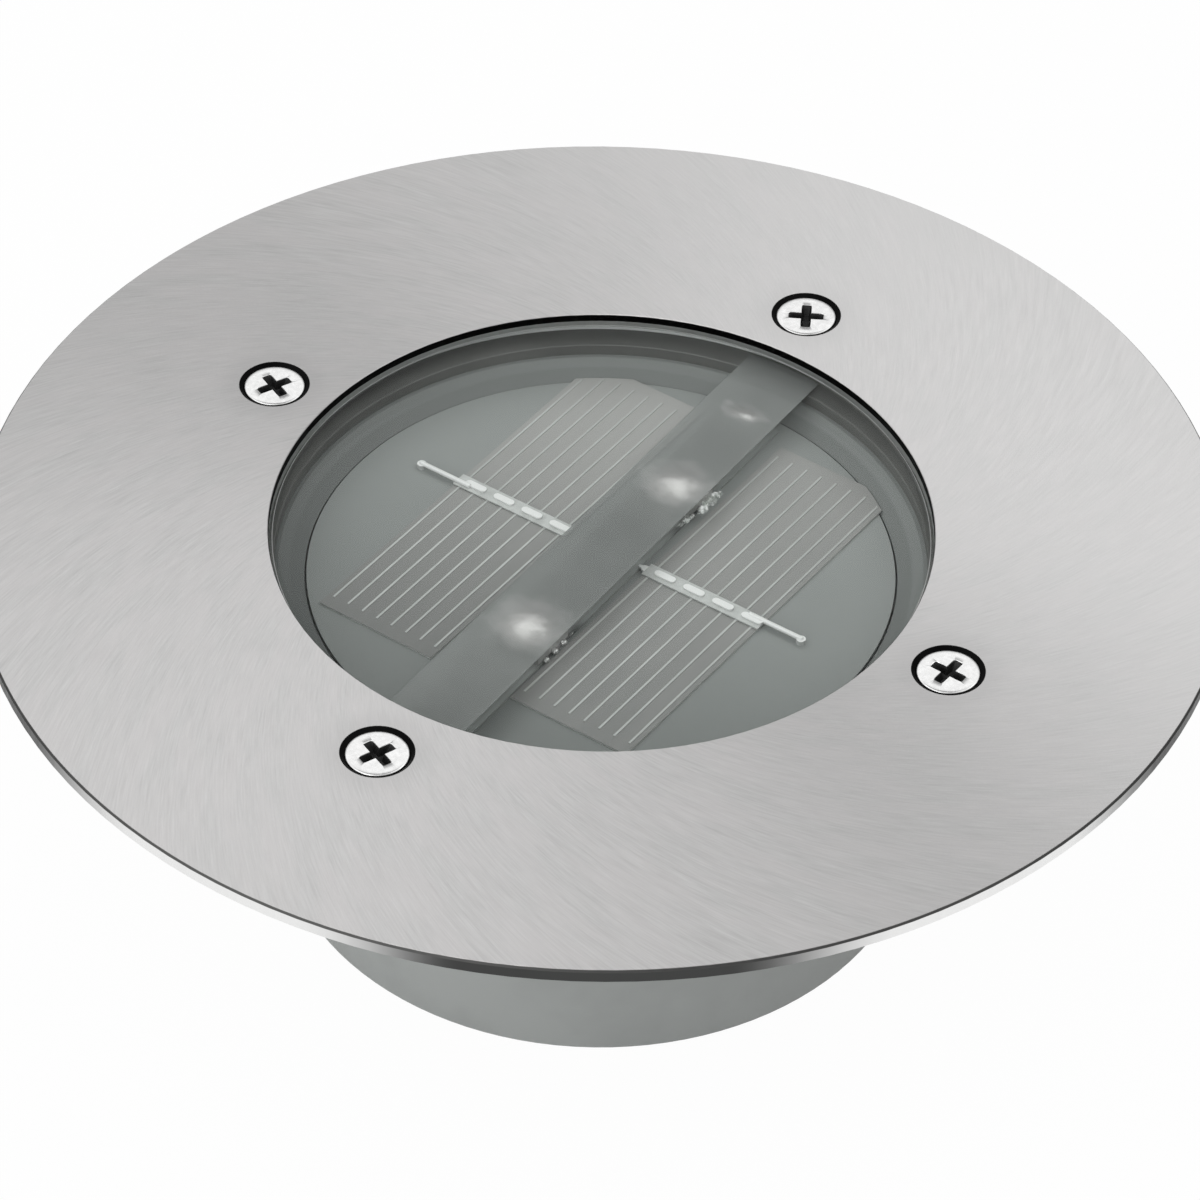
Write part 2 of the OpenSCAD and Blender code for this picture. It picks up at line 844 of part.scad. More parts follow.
// Circuit board that hangs under the tray
module circuit_board()
    color([0.05, 0.30, 0.16])
        difference() {
            translate([-pcb_l / 2, pcb_y - pcb_w / 2, pcb_low])
                cube([pcb_l, pcb_w, pcb_t]);
            at_board_screws()
                shaft(board_screw_r + 2 * bore_gap, pcb_low - over, pcb_top + over);
        }

// Lamp driver with its legs
module driver_chip()
    color([0.06, 0.06, 0.06])
        translate([chip_x, pcb_y, pcb_low]) {
            translate([-chip_size.x / 2, -chip_size.y / 2, -chip_size.z])
                cube(chip_size);
            for (i = [0 : LEG_COUNT - 1], side = [-1, 1])
                translate([
                    (i - (LEG_COUNT - 1) / 2) * leg_pitch - leg_size.x / 2,
                    side * (chip_size.y + leg_size.y) / 2 - leg_size.y / 2,
                    -leg_size.z
                ])
                    cube(leg_size);
        }

// Drum inductor
module inductor()
    color([0.15, 0.14, 0.13])
        translate([coil_x, pcb_y, pcb_low - coil_h])
            rotate_extrude($fn = fn_small)
                polygon([
                    [0, 0],
                    [coil_d / 2, 0],
                    [coil_d / 2, coil_flange_h],
                    [coil_d / 2 - coil_waist, coil_flange_h],
                    [coil_d / 2 - coil_waist, coil_h - coil_flange_h],
                    [coil_d / 2, coil_h - coil_flange_h],
                    [coil_d / 2, coil_h],
                    [0, coil_h]
                ]);

// Electrolytic capacitor with the groove of its seal
module capacitor()
    color([0.10, 0.12, 0.25])
        translate([cap_x, pcb_y, pcb_low - cap_h])
            rotate_extrude($fn = fn_small)
                polygon([
                    [0, 0],
                    [cap_d / 2 - cap_groove, 0],
                    [cap_d / 2, cap_groove],
                    [cap_d / 2, cap_h - 5 * cap_groove],
                    [cap_d / 2 - cap_groove, cap_h - 4 * cap_groove],
                    [cap_d / 2, cap_h - 3 * cap_groove],
                    [cap_d / 2, cap_h],
                    [0, cap_h]
                ]);

// Two axial resistors side by side
module resistors()
    color([0.75, 0.66, 0.50])
        for (share = RESISTOR_SHARES)
            translate([resistor_x, pcb_y + share * pcb_w, pcb_low - resistor_r])
                rotate([right_angle, 0, 0])
                    resistor();

// An axial resistor along Z with round ends and a thin middle
module resistor()
    translate([0, 0, -resistor_l / 2])
        rotate_extrude($fn = fn_small)
            polygon([
                [0, 0],
                [resistor_r - resistor_gap, 0],
                [resistor_r, resistor_gap],
                [resistor_r, resistor_l / 4],
                [resistor_waist_r, resistor_l / 3],
                [resistor_waist_r, resistor_l * 2 / 3],
                [resistor_r, resistor_l * 3 / 4],
                [resistor_r, resistor_l - resistor_gap],
                [resistor_r - resistor_gap, resistor_l],
                [0, resistor_l]
            ]);

// Two screws that hold the circuit board
module board_screws()
    color([0.78, 0.78, 0.78])
        at_board_screws()
            pan_screw(pcb_low, board_screw_r, pcb_t + board_screw_bite, board_head_r, board_head_h);

// Rechargeable cell that lies along X
module battery()
    color([0.16, 0.42, 0.24])
        translate([bat_minus_x, 0, bat_z])
            rotate([0, right_angle, 0])
                rotate_extrude($fn = fn_small * 2)
                    polygon([
                        [0, 0],
                        [bat_r - contact_t, 0],
                        [bat_r, contact_t],
                        [bat_r, bat_l - NUB.y - contact_t],
                        [bat_r - contact_t, bat_l - NUB.y],
                        [NUB.x / 2, bat_l - NUB.y],
                        [NUB.x / 2, bat_l],
                        [0, bat_l]
                    ]);

// Conical contact spring at the battery's flat end
module battery_spring()
    color([0.80, 0.80, 0.78]) {
        x_first = minus_face + spring_wire_r;
        x_last = bat_minus_x - spring_wire_r;
        centres = [for (i = [0 : SPRING_STEPS])
            let (
                share = i / SPRING_STEPS,
                r = spring_big_r + share * (spring_small_r - spring_big_r),
                turn = share * SPRING_TURNS * full_turn
            )
            [x_first + share * (x_last - x_first), r * cos(turn), bat_z + r * sin(turn)]];
        ways = [for (i = [0 : SPRING_STEPS])
            centres[min(i + 1, SPRING_STEPS)] - centres[max(i - 1, 0)]];
        tube(centres, ways, [1, 0, 0], spring_wire_r, 6);
    }

// A contact plate at one end of the pocket, with a tab up through the pocket's roof
module contact_plate(side)
    translate([side * (pocket_half_l - contact_t / 2), 0, 0]) {
        translate([-contact_t / 2, -contact_w / 2, bat_z - contact_w / 2])
            cube([contact_t, contact_w, contact_w]);
        translate([-contact_t / 2, tab_y - tab_w / 2, bat_z])
            cube([contact_t, tab_w, pocket_top + tab_rise - bat_z]);
    }

module minus_contact() color([0.80, 0.80, 0.78]) contact_plate(-1);
module plus_contact() color([0.80, 0.80, 0.78]) contact_plate(1);

// Lead from a contact's tab to the top of the circuit board
module battery_wire(side, end_x)
    wire([
        [side * plus_face, tab_y, wire_run_z],
        [side * (plus_face - 3 * wire_bow), tab_y, wire_run_z],
        [side * end_x, pad_y, pcb_top + wire_bow],
        [side * end_x, pad_y, pcb_top]
    ], [side, 1, 0]);

module battery_wire_red() color([0.75, 0.08, 0.06]) battery_wire(1, battery_wire_x);
module battery_wire_black() color([0.05, 0.05, 0.05]) battery_wire(-1, battery_wire_x);

// Leads from the cells to the circuit board
module cell_wires()
    color([0.85, 0.85, 0.85])
        for (side = [-1, 1])
            wire([
                [lead_x(side), lead_y(side), tray_low],
                [lead_x(side), lead_y(side), tray_low - wire_bow],
                [side * cell_wire_x, pad_y, pcb_top + wire_bow],
                [side * cell_wire_x, pad_y, pcb_top]
            ], [side, 1, 0], thin_wire_r);

// Leads from the lamp board straight down to the circuit board
module led_wires()
    color([0.85, 0.85, 0.85])
        for (i = [0 : LED_WIRES - 1])
            translate([(i - (LED_WIRES - 1) / 2) * led_wire_pitch, led_hole_y, 0])
                shaft(thin_wire_r, pcb_top, board_top);

// Leads from the circuit board over the pocket to the switch
module switch_wires()
    color([0.12, 0.12, 0.12])
        for (side = [-1, 1])
            wire([
                [side * switch_wire_x, pad_y, pcb_top],
                [side * switch_wire_x, pad_y, pcb_top + 0.9 * wire_bow],
                [side * terminal_pitch, switch_y, pcb_top + 1.6 * wire_bow],
                [side * terminal_pitch, switch_y, terminal_top]
            ], [1, 0, 0], thin_wire_r);

// Slide switch that stands on the case's floor
module switch_body()
    color([0.70, 0.71, 0.72])
        translate([0, switch_y, 0]) {
            difference() {
                translate([-switch_l / 2, -switch_w / 2, case_floor_top])
                    cube([switch_l, switch_w, switch_h]);
                translate([0, 0, case_floor_top])
                    cube([2 * slot_half_l, 2 * slot_half_w, 2 * cavity_h], center = true);
            }
            for (i = [-1 : 1])
                translate([i * terminal_pitch, 0, 0])
                    shaft(terminal_r, case_floor_top + switch_h, terminal_top);
        }

// Knob of the switch, at the -X end of its travel
module switch_knob()
    color([0.08, 0.08, 0.08])
        translate([-switch_travel / 2, switch_y, 0])
            difference() {
                translate([-knob_l / 2, -knob_w / 2, knob_low])
                    cube([knob_l, knob_w, knob_top - knob_low]);
                for (i = [-1 : 1])
                    translate([i * knob_l / 3, 0, knob_low])
                        cube([knob_l / 6, knob_w + over, 2 * knob_grip_h], center = true);
            }

// Hinged lid of the battery pocket
module battery_lid()
    color([0.14, 0.14, 0.15])
        difference() {
            union() {
                translate([-lid_half_l, lid_axis_y, lid_low])
                    cube([2 * lid_half_l, lid_half_w - lid_axis_y, lid_t]);
                translate([0, lid_axis_y, lid_axis_z])
                    rotate([0, right_angle, 0]) {
                        cylinder(r = lid_r, h = 2 * lid_half_l, center = true, $fn = fn_small);
                        cylinder(r = pin_r, h = 2 * (lid_half_l + pin_l), center = true, $fn = fn_small);
                    }
            }
            for (i = [0 : GRIP_COUNT - 1])
                translate([0, lid_half_w - (i + 1) * grip_pitch, lid_low])
                    cube([grip_l, grip_w, 2 * grip_h], center = true);
        }

// Brushed steel disc with the window hole and four countersinks
module cover_plate()
    color([0.78, 0.78, 0.78])
        difference() {
            rotate_extrude($fn = fn_big)
                polygon([
                    [window_r, plate_low],
                    [plate_r - rim_bevel, plate_low],
                    [plate_r, plate_low + rim_bevel],
                    [plate_r, plate_top - rim_bevel],
                    [plate_r - rim_bevel, plate_top],
                    [window_r + rim_bevel / 2, plate_top],
                    [window_r, plate_top - rim_bevel / 2]
                ]);
            at_cover_screws() {
                shaft(hole_r, plate_low - over, plate_top + over);
                countersink();
            }
        }

// A cone that narrows from the top of the plate at the slope of the screw's head
head_slope = (head_d / 2 - neck_r) / head_h;
module countersink() {
    low = plate_top - (countersink_d / 2 - hole_r) / head_slope;
    translate([0, 0, low])
        cylinder(r1 = hole_r, r2 = countersink_d / 2, h = plate_top - low, $fn = fn_small * 2);
}

// The cross recess of a cover screw, which narrows towards its bottom
module cross_recess()
    intersection() {
        cross_cut(cross_w, cross_l, cross_h);
        translate([0, 0, -cross_h])
            cylinder(
                r1 = cross_l / 2 - cross_taper_share * cross_h,
                r2 = cross_l / 2 + cross_taper_share * cross_h,
                h = 2 * cross_h,
                $fn = fn_small
            );
    }

// One countersunk screw with a thread of plain ridges and a cross recess
module cover_screw(i) {
    shank_top = head_top - head_h;
    ridges = floor((shank_top - screw_tip - point_h) / thread_pitch - 1 / 3);
    color([0.90, 0.90, 0.90])
        rotate([0, 0, screw_turn + i * full_turn / SCREW_COUNT])
            translate([screw_circle_r, 0, 0])
                difference() {
                    rotate_extrude($fn = fn_small * 2)
                        polygon(concat(
                            [[0, head_top], [head_d / 2, head_top], [neck_r, shank_top]],
                            [for (k = [0 : ridges - 1])
                                let (z = shank_top - (k + 1) * thread_pitch)
                                each [
                                    [neck_r, z + thread_pitch / 3],
                                    [screw_r, z + thread_pitch / 12],
                                    [screw_r, z - thread_pitch / 12],
                                    [neck_r, z - thread_pitch / 3]
                                ]],
                            [[neck_r, screw_tip + point_h], [point_r, screw_tip], [0, screw_tip]]
                        ));
                    translate([0, 0, head_top])
                        rotate([0, 0, CROSS_TURNS[i]])
                            cross_recess();
                }
}

module cover_screw_1() cover_screw(0);
module cover_screw_2() cover_screw(1);
module cover_screw_3() cover_screw(2);
module cover_screw_4() cover_screw(3);

housing();
unit_seal();
panel_tray();
unit_case();
case_screws();
panel_board();
solar_cell_left();
solar_cell_right();
cell_grid_left();
cell_grid_right();
cell_ribbon_left();
cell_ribbon_right();
led_board();
led_front();
led_back();
light_sensor();
lens();
diffuser_strip();
lens_seal();
circuit_board();
driver_chip();
inductor();
capacitor();
resistors();
board_screws();
battery();
battery_spring();
minus_contact();
plus_contact();
battery_wire_red();
battery_wire_black();
cell_wires();
led_wires();
switch_wires();
switch_body();
switch_knob();
battery_lid();
cover_plate();
cover_screw_1();
cover_screw_2();
cover_screw_3();
cover_screw_4();
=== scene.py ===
"""Looks of the solar in-ground well light. Everything is in metres, in the CAD model's frame."""

import math
import random

import bmesh
import bpy
from mathutils import Matrix, Vector


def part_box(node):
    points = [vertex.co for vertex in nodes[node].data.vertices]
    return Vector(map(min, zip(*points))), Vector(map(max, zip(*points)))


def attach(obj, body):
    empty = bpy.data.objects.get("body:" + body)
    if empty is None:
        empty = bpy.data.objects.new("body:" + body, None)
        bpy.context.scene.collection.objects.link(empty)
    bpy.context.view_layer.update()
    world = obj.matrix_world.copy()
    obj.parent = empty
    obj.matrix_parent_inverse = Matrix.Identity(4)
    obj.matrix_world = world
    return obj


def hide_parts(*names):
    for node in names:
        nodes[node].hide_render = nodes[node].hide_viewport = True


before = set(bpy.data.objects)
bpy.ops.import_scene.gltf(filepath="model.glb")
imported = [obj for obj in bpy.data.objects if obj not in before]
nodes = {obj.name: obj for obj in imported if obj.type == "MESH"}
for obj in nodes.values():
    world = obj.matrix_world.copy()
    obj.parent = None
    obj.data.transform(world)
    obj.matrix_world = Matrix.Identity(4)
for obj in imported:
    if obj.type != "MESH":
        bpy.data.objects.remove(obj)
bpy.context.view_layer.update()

MM = 0.001
UNIT = "light_unit"


def top_of(node):
    """The height of a node's highest point, in millimetres."""
    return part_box(node)[1][2] / MM


def low_of(node):
    """The height of a node's lowest point, in millimetres."""
    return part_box(node)[0][2] / MM


def reach_of(node):
    """How far a node reaches along X, in millimetres: the radius of a round one."""
    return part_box(node)[1][0] / MM


# Sizes and places in millimetres and turns in degrees, from the frame or repeated from the source
PLATE_TOP, PLATE_LOW, PLATE_R = top_of("cover_plate"), low_of("cover_plate"), reach_of("cover_plate")
WINDOW_R, LENS_R = 31.85, 31.55
LENS_TOP, FLANGE_R = top_of("lens"), reach_of("lens")
SEAL_IN_R, SEAL_EASE = 31.4, 0.08
SCREW_CIRCLE_R, SCREW_TURN, SINK_R = 38.15, 3.1, 3.5
CROSS_TURNS = (85, 28, 64, 66)
HEAD_H, HEAD_TOP, SCREW_TIP = 1.3, top_of("cover_screw_1"), low_of("cover_screw_1")
ROW_TURN, STRIP_HALF, STRIP_END_R = 1.7, 4.05, 33.0
POT_FLOOR = 2.0
# How far the strip and the seal stand clear of the window: of two faces in one place, one hides the other
CLEAR = 0.03
STRIP_TOP = top_of("diffuser_strip") - CLEAR
SEAL_TOP = top_of("lens_seal") - CLEAR

# Where a painted glow shows softly through the frosted strip, over each lamp and as a painted highlight in
# the sensor: middle (u, v) in the lamp row and half sizes
PAINTED_GLOWS = (((0.75, 12.15), (2.9, 2.7)), ((0.35, -13.0), (3.1, 2.9)), ((0.35, 24.75), (1.9, 1.0)))

# The photograph's directions in the model's frame: right, and away from the camera
RIGHT = Vector((0.8195, 0.5730, 0.0))
AWAY = Vector((-0.5730, 0.8195, 0.0))

WHITE = (1.0, 1.0, 1.0)
# Most of a noise lies between these values
NOISE_LOW, NOISE_HIGH = 0.3, 0.7
# The plate's scratches by width: scale across and along the spiral, place in the noise, detail, roughness
SCRATCHES = ((230.0, 9.0, 3.0, 3.0, 0.6), (75.0, 6.0, 10.0, 3.0, 0.55), (14.0, 3.5, 22.0, 2.0, 0.5))
SCRATCH_LEAN = 143
# The rim's painted reflections, light and dark by turns: how often, and the middle of a dark stretch
RIM_LOBES, RIM_PAINTED_DARK_AT = 5.0, -55.04


def screw_place(number):
    """Where a cover screw stands, counted from 1: its angle round the plate, its x and its y."""
    a = math.radians(SCREW_TURN + 90 * (number - 1))
    return a, SCREW_CIRCLE_R * math.cos(a), SCREW_CIRCLE_R * math.sin(a)


# Shader nodes

class Net:
    """Builds a node tree with short calls. A value given to an input is a socket or a constant."""

    def __init__(self, tree):
        self.tree = tree
        tree.nodes.clear()

    def add(self, kind, ins=None, **attrs):
        node = self.tree.nodes.new(kind)
        for key, value in attrs.items():
            setattr(node, key, value)
        for key, value in (ins or {}).items():
            self.put(node.inputs[key], value)
        return node

    def put(self, socket, value):
        if isinstance(value, bpy.types.NodeSocket):
            self.tree.links.new(value, socket)
        elif socket.type == "RGBA" and len(value) == 3:
            socket.default_value = (*value, 1.0)
        else:
            socket.default_value = value

    def math(self, op, a, b=0.0, c=0.0):
        node = self.add("ShaderNodeMath", operation=op)
        for i, value in enumerate((a, b, c)):
            self.put(node.inputs[i], value)
        return node.outputs[0]

    def plus(self, a, b):
        return self.math("ADD", a, b)

    def minus(self, a, b):
        return self.math("SUBTRACT", a, b)

    def times(self, a, b):
        return self.math("MULTIPLY", a, b)

    def most(self, a, b):
        return self.math("MAXIMUM", a, b)

    def vector(self, op, a, b=(0.0, 0.0, 0.0)):
        node = self.add("ShaderNodeVectorMath", operation=op)
        self.put(node.inputs[0], a)
        self.put(node.inputs[1], b)
        return node.outputs["Value" if op in ("DOT_PRODUCT", "LENGTH", "DISTANCE") else "Vector"]

    def scaled(self, vec, factors):
        return self.vector("MULTIPLY", vec, factors)

    def place(self):
        """The point in the model's frame, in millimetres."""
        coords = self.add("ShaderNodeTexCoord").outputs["Object"]
        return self.scaled(coords, (1 / MM, 1 / MM, 1 / MM))

    def split(self, vec):
        node = self.add("ShaderNodeSeparateXYZ", {0: vec})
        return node.outputs[0], node.outputs[1], node.outputs[2]

    def join(self, x, y, z):
        return self.add("ShaderNodeCombineXYZ", {0: x, 1: y, 2: z}).outputs[0]

    def noise(self, vec, scale=1.0, detail=2.0, rough=0.5):
        node = self.add("ShaderNodeTexNoise", {
            "Vector": vec, "Scale": scale, "Detail": detail, "Roughness": rough})
        return node.outputs["Fac"]

    def cells(self, vec):
        return self.add("ShaderNodeTexVoronoi", {"Vector": vec, "Scale": 1.0}).outputs["Distance"]

    def step(self, value, low, high, to_low=0.0, to_high=1.0, smooth=True):
        node = self.add("ShaderNodeMapRange", {
            "Value": value, "From Min": low, "From Max": high, "To Min": to_low, "To Max": to_high})
        node.interpolation_type = "SMOOTHSTEP" if smooth else "LINEAR"
        return node.outputs[0]

    def ease(self, noise, low=0.0, high=1.0):
        """Turns a noise into values from low to high, with soft ends."""
        return self.step(noise, NOISE_LOW, NOISE_HIGH, low, high)

    def spread(self, noise, low=0.0, high=1.0):
        """Turns a noise into values from low to high, evenly."""
        return self.step(noise, NOISE_LOW, NOISE_HIGH, low, high, False)

    def colour(self, share, a, b):
        node = self.add("ShaderNodeMix", data_type="RGBA")
        self.put(node.inputs[0], share)
        self.put(node.inputs[6], a)
        self.put(node.inputs[7], b)
        return node.outputs[2]

    def tint_by(self, noise, a, b):
        """A colour that wanders from a to b with a noise."""
        return self.colour(self.ease(noise), a, b)

    def direction(self, share, a, b):
        node = self.add("ShaderNodeMix", data_type="VECTOR")
        self.put(node.inputs[0], share)
        self.put(node.inputs[4], a)
        self.put(node.inputs[5], b)
        return node.outputs[1]

    def bump(self, height, strength, distance):
        return self.add("ShaderNodeBump", {
            "Height": height, "Strength": strength, "Distance": distance}).outputs[0]

    def lean(self, spot, away, right, low, high):
        """0 to 1 along a level direction, with a slow wander."""
        slow = self.noise(spot, 0.07, 2.0, 0.5)
        reach = self.vector("DOT_PRODUCT", spot, tuple(AWAY * away + RIGHT * right))
        return self.step(self.plus(reach, self.times(slow, 14.0)), low, high), slow

    def row_place(self, spot):
        """The point's place (u, v) across and along the lamp row."""
        x, y = self.split(spot)[:2]
        c, s = math.cos(math.radians(ROW_TURN)), math.sin(math.radians(ROW_TURN))
        u = self.plus(self.times(x, c), self.times(y, s))
        v = self.minus(self.times(y, c), self.times(x, s))
        return u, v

    def wander(self, spot, scale, reach):
        """A number that wanders to both sides of zero."""
        return self.times(self.minus(self.noise(spot, scale, 2.0, 0.5), 0.5), reach)

    def glow_share(self, spot, inner, outer, ragged=0.0):
        """1 in the middle of each lamp and 0 outside: inner and outer are shares of its half sizes."""
        u, v = self.row_place(spot)
        if ragged:
            u = self.plus(u, self.wander(spot, 0.55, ragged))
            v = self.plus(v, self.wander(self.vector("ADD", spot, (31.0, 7.0, 3.0)), 0.5, ragged))
        best = None
        for (mid_u, mid_v), (half_u, half_v) in PAINTED_GLOWS:
            a = self.math("DIVIDE", self.minus(u, mid_u), half_u)
            b = self.math("DIVIDE", self.minus(v, mid_v), half_v)
            gap = self.math("SQRT", self.plus(self.times(a, a), self.times(b, b)))
            share = self.step(gap, inner, outer, 1.0, 0.0)
            best = share if best is None else self.most(best, share)
        return best

    def sheen_share(self, straight_on, normal):
        """How much a clear surface mirrors, the same from its inside and its outside."""
        facing = self.add("ShaderNodeLayerWeight", {"Blend": 0.5, "Normal": normal}).outputs["Facing"]
        return self.plus(self.times(self.math("POWER", facing, 5.0), 1.0 - straight_on), straight_on)

    def shiny(self, **ins):
        """A Principled shader whose sockets are named with underscores."""
        ins = {name.replace("_", " "): value for name, value in ins.items()}
        return self.add("ShaderNodeBsdfPrincipled", ins).outputs[0]

    def gloss(self, rough, normal):
        return self.add("ShaderNodeBsdfGlossy", {
            "Color": WHITE, "Roughness": rough, "Normal": normal}).outputs[0]

    def clear(self, tint):
        return self.add("ShaderNodeBsdfTransparent", {"Color": tint}).outputs[0]

    def blend(self, share, first, second):
        return self.add("ShaderNodeMixShader", {0: share, 1: first, 2: second}).outputs[0]

    def out(self, shader):
        self.add("ShaderNodeOutputMaterial", {0: shader})


def material(name):
    mat = bpy.data.materials.new(name)
    mat.use_nodes = True
    return mat, Net(mat.node_tree)


def scratch_fields(net, x, y, radius):
    """The plate's scratches by width, without a seam, and the angle round the plate."""
    log_r = net.math("LOGARITHM", radius, math.e)
    turn = net.math("ARCTAN2", y, x)
    turn_back = net.math("ARCTAN2", net.times(y, -1.0), net.times(x, -1.0))

    def half(angle):
        across, along = net.minus(angle, log_r), net.plus(angle, log_r)
        fields = []
        for wide, long, seed, detail, rough in SCRATCHES:
            spiral = net.join(net.times(across, wide), net.times(along, long), seed)
            fields.append(net.noise(spiral, 1.0, detail, rough))
        return fields

    pairs = list(zip(half(turn), half(turn_back)))
    side = net.step(net.math("DIVIDE", x, radius), -0.16, 0.16)
    fields = [net.plus(net.times(first, side), net.times(second, net.minus(1.0, side)))
              for first, second in pairs]
    return fields, turn


def plate_steel():
    """Brushed stainless steel whose scratches run at 45 degrees to the radius, in spirals, with painted
    light and shade on one side, round the screws, on the rim and on the hole walls.
    """
    mat, net = material("brushed_stainless")
    x, y, z = net.split(net.place())
    flat = net.join(x, y, 0.0)
    radius = net.vector("LENGTH", flat)
    (fine, medium, broad), turn = scratch_fields(net, x, y, radius)
    # the distance to the nearest screw
    near = None
    for number in range(1, 5):
        gap = net.vector("DISTANCE", flat, (*screw_place(number)[1:], 0.0))
        near = gap if near is None else net.math("MINIMUM", near, gap)
    # painted shade: a soft darker ring round each screw
    painted_halo_r = 6.4
    painted_halo = net.step(near, SINK_R, painted_halo_r, 1.0, 0.0)
    tone = net.spread(net.plus(net.times(fine, 0.45), net.times(medium, 0.55)))
    tint = net.colour(tone, (0.462, 0.458, 0.455), (0.662, 0.659, 0.655))
    tint = net.colour(net.times(net.step(broad, 0.35, 0.65), 0.35), tint, (0.62, 0.60, 0.60))
    tint = net.colour(net.times(painted_halo, 0.16), tint, (0.33, 0.33, 0.33))
    # painted light: paler towards the right and the back
    reach = net.vector("DOT_PRODUCT", flat, tuple(RIGHT * 0.87 + AWAY * 0.5))
    tint = net.colour(net.step(reach, -10.0, 55.0, 0.0, 0.42), tint, (0.80, 0.797, 0.793))
    # painted reflections on the punched rim, light and dark by turns, and painted shade as a thin dark line
    # on its bevel
    phase = math.radians(-RIM_LOBES * RIM_PAINTED_DARK_AT - 180)
    lobes = net.math("COSINE", net.math("MULTIPLY_ADD", turn, RIM_LOBES, phase))
    rim_painted_light = net.step(net.plus(lobes, net.wander(flat, 0.04, 0.8)), -0.55, 0.75)
    rim_painted_tint = net.colour(rim_painted_light, (0.055, 0.056, 0.055), (0.84, 0.84, 0.835))
    bevel_h, bevel_w, blur = 0.21, 0.19, 0.03
    bevel = net.step(z, PLATE_TOP - bevel_h - blur, PLATE_TOP - bevel_h + blur)
    rim_painted_tint = net.colour(bevel, rim_painted_tint, (0.10, 0.10, 0.098))
    rim = net.step(radius, PLATE_R - bevel_w - blur, PLATE_R - bevel_w + blur)
    # painted shade on the walls of the window hole and of the countersinks, near black, with painted light
    # on the hole wall below the window's top
    hole = net.step(radius, WINDOW_R + 0.02, WINDOW_R + 0.05, 1.0, 0.0)
    bore = net.step(near, SINK_R - 0.05, SINK_R, 1.0, 0.0)
    edge = net.most(hole, bore)
    tint = net.colour(rim, tint, rim_painted_tint)
    lit_low_wall = net.times(hole, net.step(z, LENS_TOP - 0.02, LENS_TOP + 0.03, 1.0, 0.0))
    tint = net.colour(edge, tint, net.colour(lit_low_wall, (0.008, 0.008, 0.008), (0.62, 0.625, 0.62)))
    rough = net.plus(net.spread(medium, 0.30, 0.40), net.times(edge, 0.25))
    normal = net.bump(net.plus(fine, net.times(medium, 0.7)), 0.10, 0.00002)
    # the gloss stretches across the scratches, and along the rim
    c, s = math.cos(math.radians(SCRATCH_LEAN)), math.sin(math.radians(SCRATCH_LEAN))
    turned_x = net.minus(net.times(x, c), net.times(y, s))
    turned_y = net.plus(net.times(x, s), net.times(y, c))
    turned = net.vector("NORMALIZE", net.join(turned_x, turned_y, 0.0))
    around = net.vector("NORMALIZE", net.join(net.times(y, -1.0), x, 0.0))
    net.out(net.shiny(Base_Color=tint, Metallic=1.0, Roughness=rough, Anisotropic=0.82,
                      Tangent=net.direction(rim, turned, around), Normal=normal))
    return mat


def screw_steel():
    """Bright plated steel of the screws."""
    mat, net = material("plated_screw")
    spot = net.place()
    grime = net.noise(spot, 2.2, 3.0)
    fine = net.noise(net.scaled(spot, (6.0, 6.0, 2.0)), 1.0, 4.0, 0.6)
    tint = net.colour(net.step(grime, 0.35, 0.7), (0.76, 0.76, 0.756), (0.84, 0.84, 0.836))
    net.out(net.shiny(Base_Color=tint, Metallic=1.0, Roughness=net.spread(fine, 0.16, 0.30),
                      Normal=net.bump(fine, 0.10, 0.00003)))
    return mat


def recess_painted_shade():
    """Near-black metal in a screw's recess: painted shade."""
    mat, net = material("recess_painted_shade")
    grain = net.noise(net.place(), 7.0, 3.0)
    tint = net.colour(grain, (0.004, 0.004, 0.004), (0.022, 0.022, 0.022))
    net.out(net.shiny(Base_Color=tint, Metallic=0.3, Roughness=net.ease(grain, 0.45, 0.7)))
    return mat


def plastic(name, dark, light, rough=(0.35, 0.5), grain=6.0, depth=0.00002, strength=0.25, metallic=0.0):
    """Moulded plastic, rubber, paint or plain metal: slow tone changes, and a grain of its own depth."""
    mat, net = material(name)
    spot = net.place()
    slow = net.noise(spot, 0.09, 3.0, 0.55)
    fine = net.noise(spot, grain, 3.0, 0.6)
    ins = {"Base_Color": net.tint_by(slow, dark, light), "Roughness": net.spread(fine, *rough),
           "Metallic": metallic}
    if strength:
        ins["Normal"] = net.bump(fine, strength, depth)
    net.out(net.shiny(**ins))
    return mat


def cast_face(name, dark, light, away, right, foot=None):
    """A cast or moulded face with painted light, paler towards one side, and painted shade below its foot's
    height.
    """
    mat, net = material(name)
    spot = net.place()
    share, slow = net.lean(spot, away, right, -24.0, 34.0)
    tint = net.colour(share, dark, light)
    if foot:
        # painted shade below the foot's height
        low = net.step(net.split(spot)[2], *foot, 0.30, 0.0)
        tint = net.colour(low, tint, (0.07, 0.075, 0.073))
    net.out(net.shiny(Base_Color=tint, Roughness=net.spread(slow, 0.40, 0.48)))
    return mat


